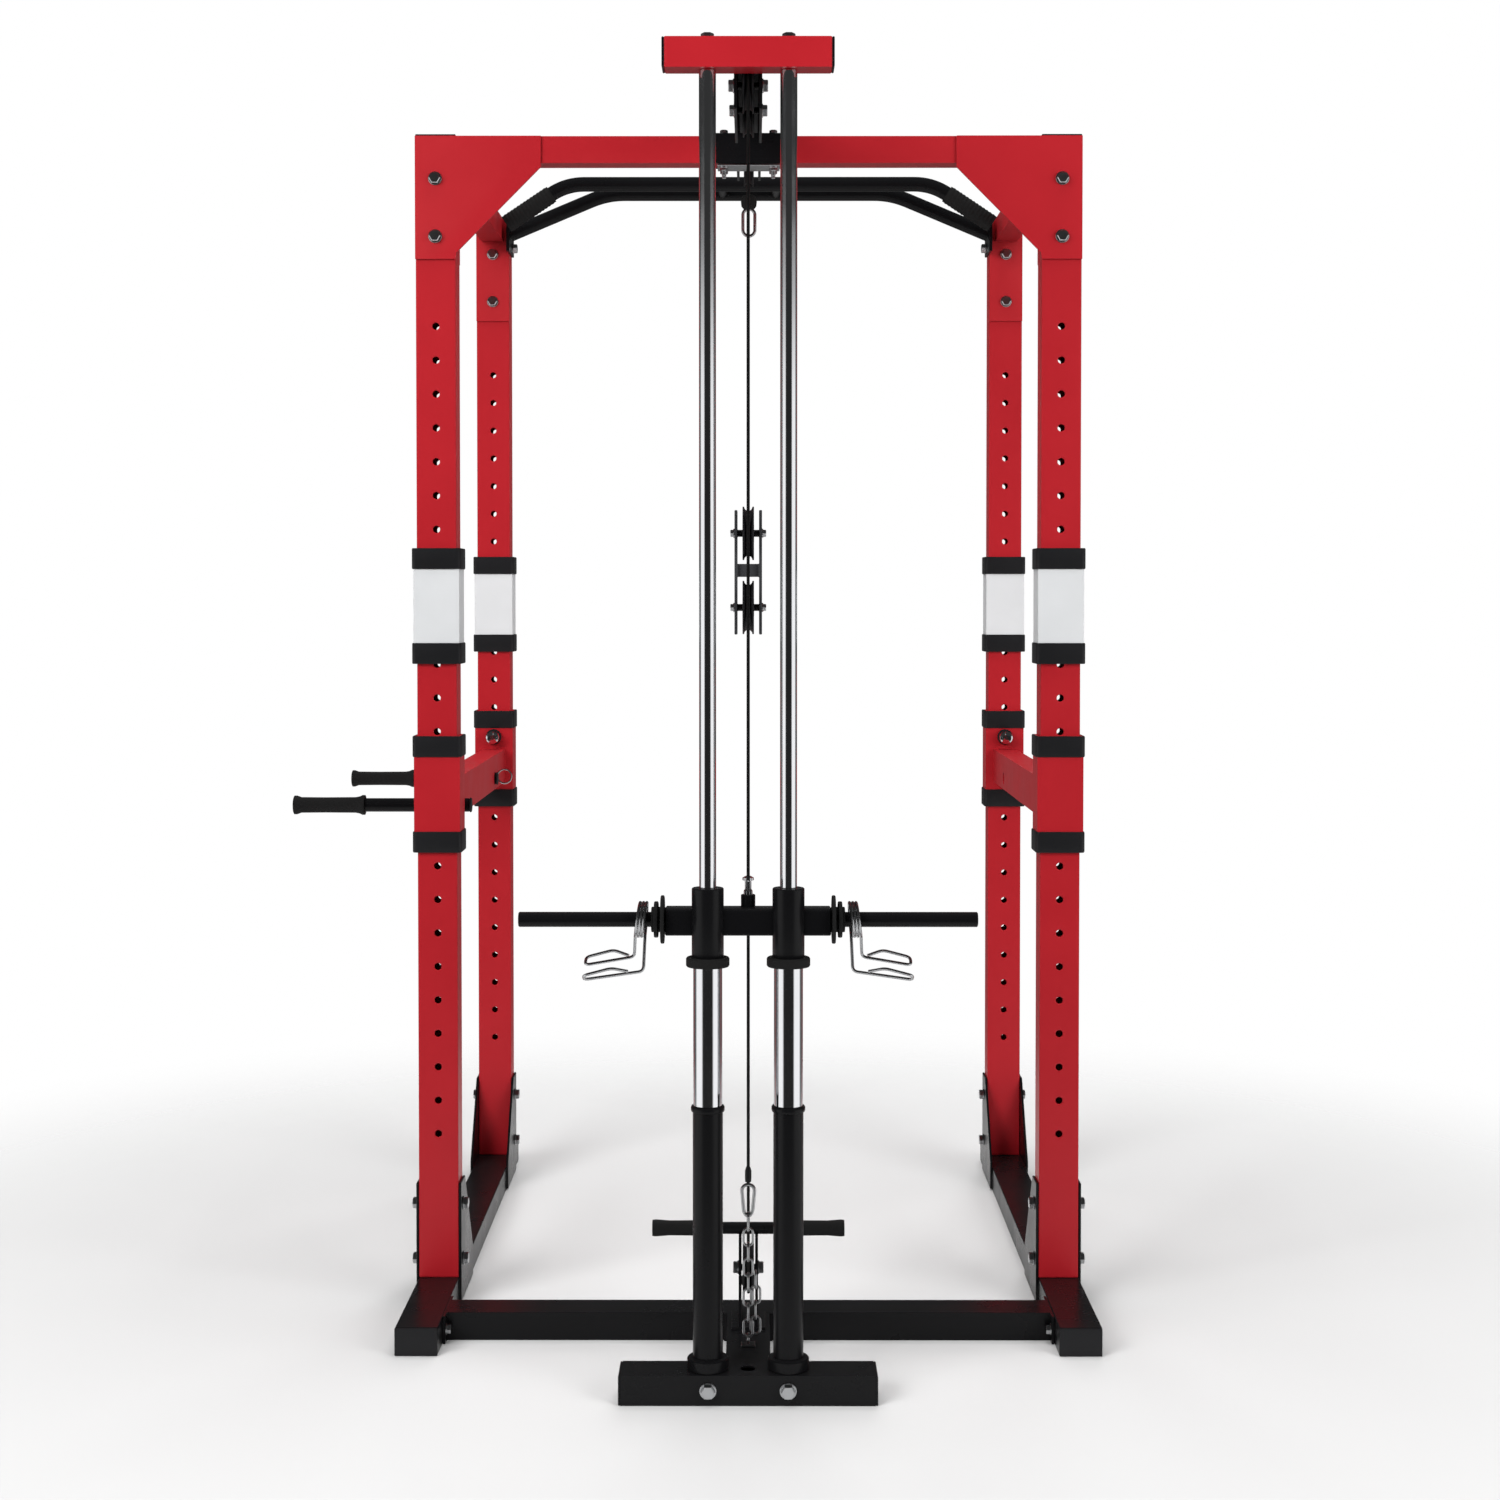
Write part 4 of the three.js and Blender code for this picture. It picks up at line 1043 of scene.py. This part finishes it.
@dataclass
class Reeving:
    """Pulleys, cables, the floating block, hooks and the anchor chain."""

    shop: Workshop
    pitch: float = 0.042
    cable: float = 0.00275
    block_cheek: float = 0.0235
    groove_steps: int = 9
    anchor_y: float = -0.219
    hook_wire: float = 0.0030
    chain_wire: float = 0.0021
    chain_half_width: float = 0.0079
    chain_links: int = 8
    slack_links: int = 4
    carabiner_wire: float = 0.0032
    carabiner_half_width: float = 0.012

    def build(self) -> None:
        """Builds everything that the cables run through and hang on."""
        self.shop.dress("floating_pulley_block", Slot.GREY_PAINT, 0.0012)
        for node in ("first_boom_pulley", "second_boom_pulley", "lat_pulley", "floating_upper_pulley",
                     "floating_lower_pulley", "low_pulley"):
            self._pulley(node)
        bolts = []
        for node in ("floating_upper_pulley", "floating_lower_pulley"):
            _, y, z = centre_of(node)
            bolts.extend(hexagon_bolt((sign * self.block_cheek, y, z), Axis.X, sign, BoltSize.BLOCK)
                         for sign in SIDES.values())
        self.shop.piece("floating_block_bolts", together(bolts), Slot.ZINC, "floating_block")
        self._cables()
        self._ends()
        self._chain()

    def _pulley(self, node: str) -> None:
        """A grooved pulley: hub, thin web and a rim whose groove is a half circle.

        Args:
            node: the frame node that the wheel stands for.
        """
        centre = centre_of(node)
        half_turn = np.linspace(np.pi, 0.0, self.groove_steps)
        groove = [(0.0455 - 0.0070 * np.sin(a), 0.0070 * np.cos(a)) for a in half_turn]
        side = [(0.0066, -0.0100), (0.0145, -0.0100), (0.0155, -0.0090), (0.0165, -0.0050), (0.0320, -0.0050),
                (0.0340, -0.0090), (0.0350, -0.0098), (0.0450, -0.0098), (0.0460, -0.0090)]
        other = [(r, -h) for r, h in reversed(side)]
        surface = turned(side + groove + other, centre, Axis.X, 64, closed=True)
        self.shop.piece(f"{node}_wheel", surface, Slot.NYLON, f"{node}_sheave", (node,))

    def _strand(self, name: str, fixed: tuple[float, float], moving: tuple[float, float],
                node: str | None = None) -> None:
        """A straight cable between the frame and a moving body.

        Args:
            name: the piece's name.
            fixed: the end on the frame, as Y and Z.
            moving: the end on the body, as Y and Z.
            node: the frame node that it stands for, if any.
        """
        route = np.linspace([0.0, *fixed], [0.0, *moving], 40)
        strand = self.shop.piece(name, carried(route, circle(self.cable, 14)), Slot.CABLE_COVER, None)
        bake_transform(strand)
        if node:
            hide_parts(node)

    def _cables(self) -> None:
        """Every stretch of the upper and the lower cable."""
        first, second, lat = (centre_of(f"{name}_pulley")[1:]
                              for name in ("first_boom", "second_boom", "lat"))
        upper, lower, low = (centre_of(f"{name}_pulley")[1:]
                             for name in ("floating_upper", "floating_lower", "low"))
        pitch, section = self.pitch, circle(self.cable, 14)
        socket_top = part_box("weight_carriage")[1].z
        self._strand("carriage_strand", (first[0] - pitch, first[1]),
                     (first[0] - pitch, socket_top), "carriage_cable")
        self._turn("first_turn", carried(arc(first, pitch, 180, 0), section), "frame",
                   ("first_pulley_cable",))
        self._strand("upper_strand_rear", (first[0] + pitch, first[1]),
                     (upper[0] - pitch, upper[1]), "upper_loop_cable")
        self._strand("upper_strand_front", (second[0] - pitch, second[1]),
                     (upper[0] + pitch, upper[1]))
        self._turn("upper_turn", carried(arc(upper, pitch, 180, 360), section), "floating_block")
        over = np.vstack([arc(second, pitch, 180, 90), arc(lat, pitch, 90, 0)])
        self._turn("boom_run", carried(over, section), "frame", ("boom_cable",))
        lat_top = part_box("lat_cable_end")[1].z
        self._strand("lat_strand", (lat[0] + pitch, lat[1]), (lat[0] + pitch, lat_top),
                     "lat_cable")
        hook_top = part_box("anchor_carabiner")[1].z
        self._strand("anchor_strand", (lower[0] - pitch, hook_top),
                     (lower[0] - pitch, lower[1]), "lower_loop_cable")
        self._turn("lower_turn", carried(arc(lower, pitch, 180, 0), section), "floating_block")
        self._strand("low_strand", (low[0] - pitch, low[1]), (lower[0] + pitch, lower[1]))
        self._turn("low_turn", carried(arc(low, pitch, 180, 270), section), "frame",
                   ("low_pulley_cable",))
        row_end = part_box("low_cable_end")[0].y
        self._strand("row_strand", (low[0], low[1] - pitch), (row_end, low[1] - pitch))

    def _turn(self, name: str, surface: Surface, body: str, nodes: tuple[str, ...] = ()) -> None:
        """A stretch of cable that lies on a pulley and rides on one body."""
        self.shop.piece(name, surface, Slot.CABLE_COVER, body, nodes)

    def _hook(self, centre: np.ndarray, half_width: float, half_length: float, plane: tuple[int, int],
              wire: float, taper: float = 0.0) -> Surface:
        """A ring of wire: two half circles joined by straight runs, narrowed towards its low end.

        Args:
            centre: the middle of the ring.
            half_width: half its width, to the wire's middle.
            half_length: half its length, to the wire's middle.
            plane: the axes of its width and its length.
            wire: the wire's radius.
            taper: how much narrower the low end is than the high end, from 0 to 1.

        Returns:
            The closed ring.
        """
        angle = np.linspace(0.0, FULL_TURN, 56, endpoint=False)
        run = half_length - half_width
        along = half_width * np.sin(angle) + run * np.sign(np.sin(angle + 1e-9))
        width = half_width * (1.0 - taper * (1.0 - along / half_length) / 2)
        path = np.tile(centre, (len(angle), 1))
        path[:, plane[0]] += width * np.cos(angle)
        path[:, plane[1]] += along
        return carried(path, circle(wire, 14), closed=True)

    def _ends(self) -> None:
        """Rubber stop balls and carabiners on the free ends of both cables."""
        low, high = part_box("lat_cable_end")
        y = (low.y + high.y) / 2
        profile = [(0.004, high.z), (0.011, high.z - 0.002), (0.0155, high.z - 0.008),
                   (0.016, high.z - 0.015), (0.0150, high.z - 0.024), (0.010, high.z - 0.030)]
        ball = turned(profile, (0.0, y, 0.0), Axis.Z, 36)
        self.shop.piece("lat_stop_ball", ball, Slot.RUBBER, "lat_end", ("lat_cable_end",))
        eye = high.z - 0.026
        hook = self._hook(np.array([0.0, y, (low.z + eye) / 2]), self.carabiner_half_width,
                          (eye - low.z) / 2 - 0.003, (0, 2), self.carabiner_wire)
        self.shop.piece("lat_carabiner", hook, Slot.ZINC, "lat_end")
        low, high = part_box("low_cable_end")
        z = (low.z + high.z) / 2
        profile = [(0.004, low.y), (0.010, low.y + 0.002), (0.0138, low.y + 0.008),
                   (0.0130, low.y + 0.018), (0.009, low.y + 0.022)]
        ball = turned(profile, (0.0, 0.0, z), Axis.Y, 36)
        self.shop.piece("row_stop_ball", ball, Slot.RUBBER, "low_end", ("low_cable_end",))
        eye = low.y + 0.018
        hook = self._hook(np.array([0.0, (eye + high.y) / 2, z]), self.carabiner_half_width,
                          (high.y - eye) / 2 - 0.003, (2, 1), self.carabiner_wire)
        self.shop.piece("row_carabiner", hook, Slot.ZINC, "low_end")

    def _chain(self) -> None:
        """A chain between a pear-shaped carabiner and an eye in the base, with its slack end beside it.

        Each link is turned a quarter turn from the one above it. Two links touch when the gap
        between their middles is a link's length less four wire radii.
        """
        low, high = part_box("anchor_chain")
        hook_low, hook_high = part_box("anchor_carabiner")
        y, wire = (low.y + high.y) / 2, self.chain_wire
        base = low.z + 0.004
        parts = [slab((low.x, low.y, low.z), (high.x, high.y, base), 0.001)]
        eye = 0.008
        parts.append(self._hook(np.array([0.0, y, base + eye]), eye, eye, (1, 2), wire))
        top = hook_low.z + 2 * self.hook_wire + wire
        bottom = base + 2 * eye - 2 * wire
        count = self.chain_links
        half_length = (top - bottom + 2 * wire * (count - 1)) / (2 * count)
        for across, back, start, links in ((0.0, 0.0, top, count),
                                           (0.0125, 0.004, top - 0.1005, self.slack_links)):
            for i in range(links):
                middle = start - half_length - i * (2 * half_length - 2 * wire)
                parts.append(self._hook(np.array([across, y + back, middle]), self.chain_half_width,
                                        half_length, ((i + 1) % 2, 2), wire))
        self.shop.piece("chain_links", together(parts), Slot.ZINC, "frame", ("anchor_chain",))
        middle = np.array([0.0, y, (hook_low.z + hook_high.z) / 2])
        half = (hook_high.z - hook_low.z) / 2 - self.hook_wire
        hook = self._hook(middle, 0.0118, half, (0, 2), self.hook_wire, 0.42)
        self.shop.piece("chain_carabiner", hook, Slot.ZINC, "frame", ("anchor_carabiner",))
        ferrule = turned([(0.0030, 0.0), (0.0052, 0.001), (0.0056, 0.008), (0.0056, 0.020), (0.0034, 0.027)],
                         (0.0, self.anchor_y, hook_high.z + 0.001), Axis.Z, 24)
        self.shop.piece("anchor_ferrule", ferrule, Slot.NYLON, "frame")


@dataclass
class Studio:
    """The camera, the pale floor and the soft lights."""

    eye: tuple[float, float, float] = (0.0069, -4.1224, 1.3311)
    pitch_down: float = 0.0248
    yaw: float = 0.0023
    lens: float = 55.2
    shift: tuple[float, float] = (0.002, -0.0644)
    backdrop: float = 1.0
    low_sky: tuple[tuple[float, float], ...] = (
        (0.0, 0.02), (0.21, 0.02), (0.27, 1.15), (0.53, 1.15), (0.60, 0.12), (0.90, 0.12), (1.0, 0.18))
    high_sky: float = 0.04
    band_top: tuple[float, float] = (0.09, 0.17)
    floor_grey: float = 0.58
    floor_reach: float = 6.0
    floor_middle: tuple[float, float, float] = (0.0, 0.45, 0.0)
    floor_fade: tuple[float, float] = (1.15, 2.6)

    def build(self) -> None:
        """Sets up the view."""
        data = bpy.data.cameras.new("view")
        data.lens, data.sensor_width, data.clip_end = self.lens, 36.0, 100.0
        data.shift_x, data.shift_y = self.shift
        camera = bpy.data.objects.new("view", data)
        camera.location = self.eye
        camera.rotation_euler = (np.pi / 2 - self.pitch_down, 0.0, self.yaw)
        bpy.context.scene.collection.objects.link(camera)
        bpy.context.scene.camera = camera
        self._floor()
        for name, place, aim, size, power in (
                ("key", (-3.2, -3.6, 3.4), (0.0, 0.2, 1.0), 3.0, 300.0),
                ("fill", (3.6, -3.0, 2.3), (0.0, 0.3, 1.1), 3.0, 175.0),
                ("top", (0.0, 0.6, 5.2), (0.0, 0.6, 0.0), 4.0, 230.0),
                ("back", (0.5, 5.0, 3.0), (0.0, 0.5, 1.2), 3.5, 170.0)):
            self._light(name, place, aim, size, power)
        world = bpy.data.worlds.new("studio")
        bpy.context.scene.world = world
        world.use_nodes = True
        self._surroundings(world.node_tree)
        bpy.context.scene.view_settings.view_transform = "Standard"

    def _surroundings(self, tree: bpy.types.NodeTree) -> None:
        """What the machine mirrors: dark in front, bright panels at the sides, dimmer behind.

        The brightness follows the compass angle from -Y and falls off above the panels' top edge.
        The camera itself sees an even, pale backdrop.

        Args:
            tree: the world's node tree.
        """
        link = tree.links.new
        place, apart = node_of(tree, "ShaderNodeTexCoord"), node_of(tree, "ShaderNodeSeparateXYZ")
        link(place.outputs["Generated"], apart.inputs["Vector"])
        aside = node_of(tree, "ShaderNodeMath", operation="ABSOLUTE")
        ahead = node_of(tree, "ShaderNodeMath", operation="MULTIPLY")
        ahead.inputs[1].default_value = -1.0
        link(apart.outputs["X"], aside.inputs[0])
        link(apart.outputs["Y"], ahead.inputs[0])
        compass = node_of(tree, "ShaderNodeMath", operation="ARCTAN2")
        link(aside.outputs[0], compass.inputs[0])
        link(ahead.outputs[0], compass.inputs[1])
        part = node_of(tree, "ShaderNodeMath", operation="DIVIDE")
        part.inputs[1].default_value = np.pi
        link(compass.outputs[0], part.inputs[0])
        panels = node_of(tree, "ShaderNodeFloatCurve")
        brightest = max(level for _, level in self.low_sky)
        curve = panels.mapping.curves[0]
        for angle, level in self.low_sky[1:-1]:
            curve.points.new(angle, level / brightest)
        curve.points[0].location = (0.0, self.low_sky[0][1] / brightest)
        curve.points[-1].location = (1.0, self.low_sky[-1][1] / brightest)
        for point in curve.points:
            point.handle_type = "VECTOR"
        panels.mapping.update()
        link(part.outputs[0], panels.inputs["Value"])
        low = node_of(tree, "ShaderNodeMath", operation="MULTIPLY")
        low.inputs[1].default_value = brightest
        link(panels.outputs["Value"], low.inputs[0])
        height = node_of(tree, "ShaderNodeMapRange", clamp=True)
        height.inputs["From Min"].default_value, height.inputs["From Max"].default_value = self.band_top
        link(apart.outputs["Z"], height.inputs["Value"])
        sky = node_of(tree, "ShaderNodeMix", data_type="FLOAT")
        sky.inputs["B"].default_value = self.high_sky
        link(height.outputs["Result"], sky.inputs["Factor"])
        link(low.outputs[0], sky.inputs["A"])
        seen = node_of(tree, "ShaderNodeLightPath")
        shown = node_of(tree, "ShaderNodeMix", data_type="FLOAT")
        shown.inputs["B"].default_value = self.backdrop
        link(seen.outputs["Is Camera Ray"], shown.inputs["Factor"])
        link(sky.outputs["Result"], shown.inputs["A"])
        link(shown.outputs["Result"], tree.nodes["Background"].inputs["Color"])

    def _floor(self) -> None:
        """A pale floor, not part of the machine, that fades into the backdrop all round."""
        reach = self.floor_reach
        mesh = bpy.data.meshes.new("floor")
        corners = [(-reach, -reach, 0), (reach, -reach, 0), (reach, reach, 0), (-reach, reach, 0)]
        mesh.from_pydata(corners, [], [(0, 1, 2, 3)])
        material = bpy.data.materials.new("floor")
        material.use_nodes = True
        tree = material.node_tree
        shader = tree.nodes["Principled BSDF"]
        shader.inputs["Base Color"].default_value = (*(self.floor_grey,) * 3, 1.0)
        shader.inputs["Roughness"].default_value = 0.7
        shader.inputs["Specular IOR Level"].default_value = 0.2
        place = node_of(tree, "ShaderNodeTexCoord")
        offset = node_of(tree, "ShaderNodeVectorMath", operation="DISTANCE")
        offset.inputs[1].default_value = self.floor_middle
        fade = node_of(tree, "ShaderNodeMapRange", clamp=True, interpolation_type="SMOOTHSTEP")
        fade.inputs["From Min"].default_value, fade.inputs["From Max"].default_value = self.floor_fade
        fade.inputs["To Min"].default_value, fade.inputs["To Max"].default_value = 1.0, 0.0
        tree.links.new(place.outputs["Object"], offset.inputs[0])
        tree.links.new(offset.outputs["Value"], fade.inputs["Value"])
        tree.links.new(fade.outputs["Result"], shader.inputs["Alpha"])
        mesh.materials.append(material)
        floor = bpy.data.objects.new("floor", mesh)
        bpy.context.scene.collection.objects.link(floor)

    def _light(self, name: str, place: tuple[float, float, float], aim: tuple[float, float, float],
               size: float, power: float) -> None:
        """One square area light that points at a place on the machine and isn't mirrored in it.

        Args:
            name: the light's name.
            place: where it stands.
            aim: the point that it faces.
            size: the length of its sides.
            power: its power in watts.
        """
        data = bpy.data.lights.new(name, "AREA")
        data.size, data.energy = size, power
        lamp = bpy.data.objects.new(name, data)
        lamp.location = place
        lamp.visible_glossy = False
        way = np.array(aim) - np.array(place)
        flat = float(np.hypot(way[0], way[1]))
        lamp.rotation_euler = (np.pi / 2 - float(np.arctan2(-way[2], flat)), 0.0,
                               float(np.arctan2(-way[0], way[1])))
        bpy.context.scene.collection.objects.link(lamp)


def main() -> None:
    """Builds the studio and every sub-assembly in order."""
    logging.basicConfig(level=logging.INFO, format="%(message)s")
    Studio().build()
    shop = Workshop()
    for assembly in (RackFrame, PullUpStation, SlidingSleeves, GuideTower, Carriage, Reeving):
        assembly(shop).build()
        LOG.info("built %s", assembly.__name__)
    bpy.context.view_layer.update()


if __name__ == "__main__":
    main()
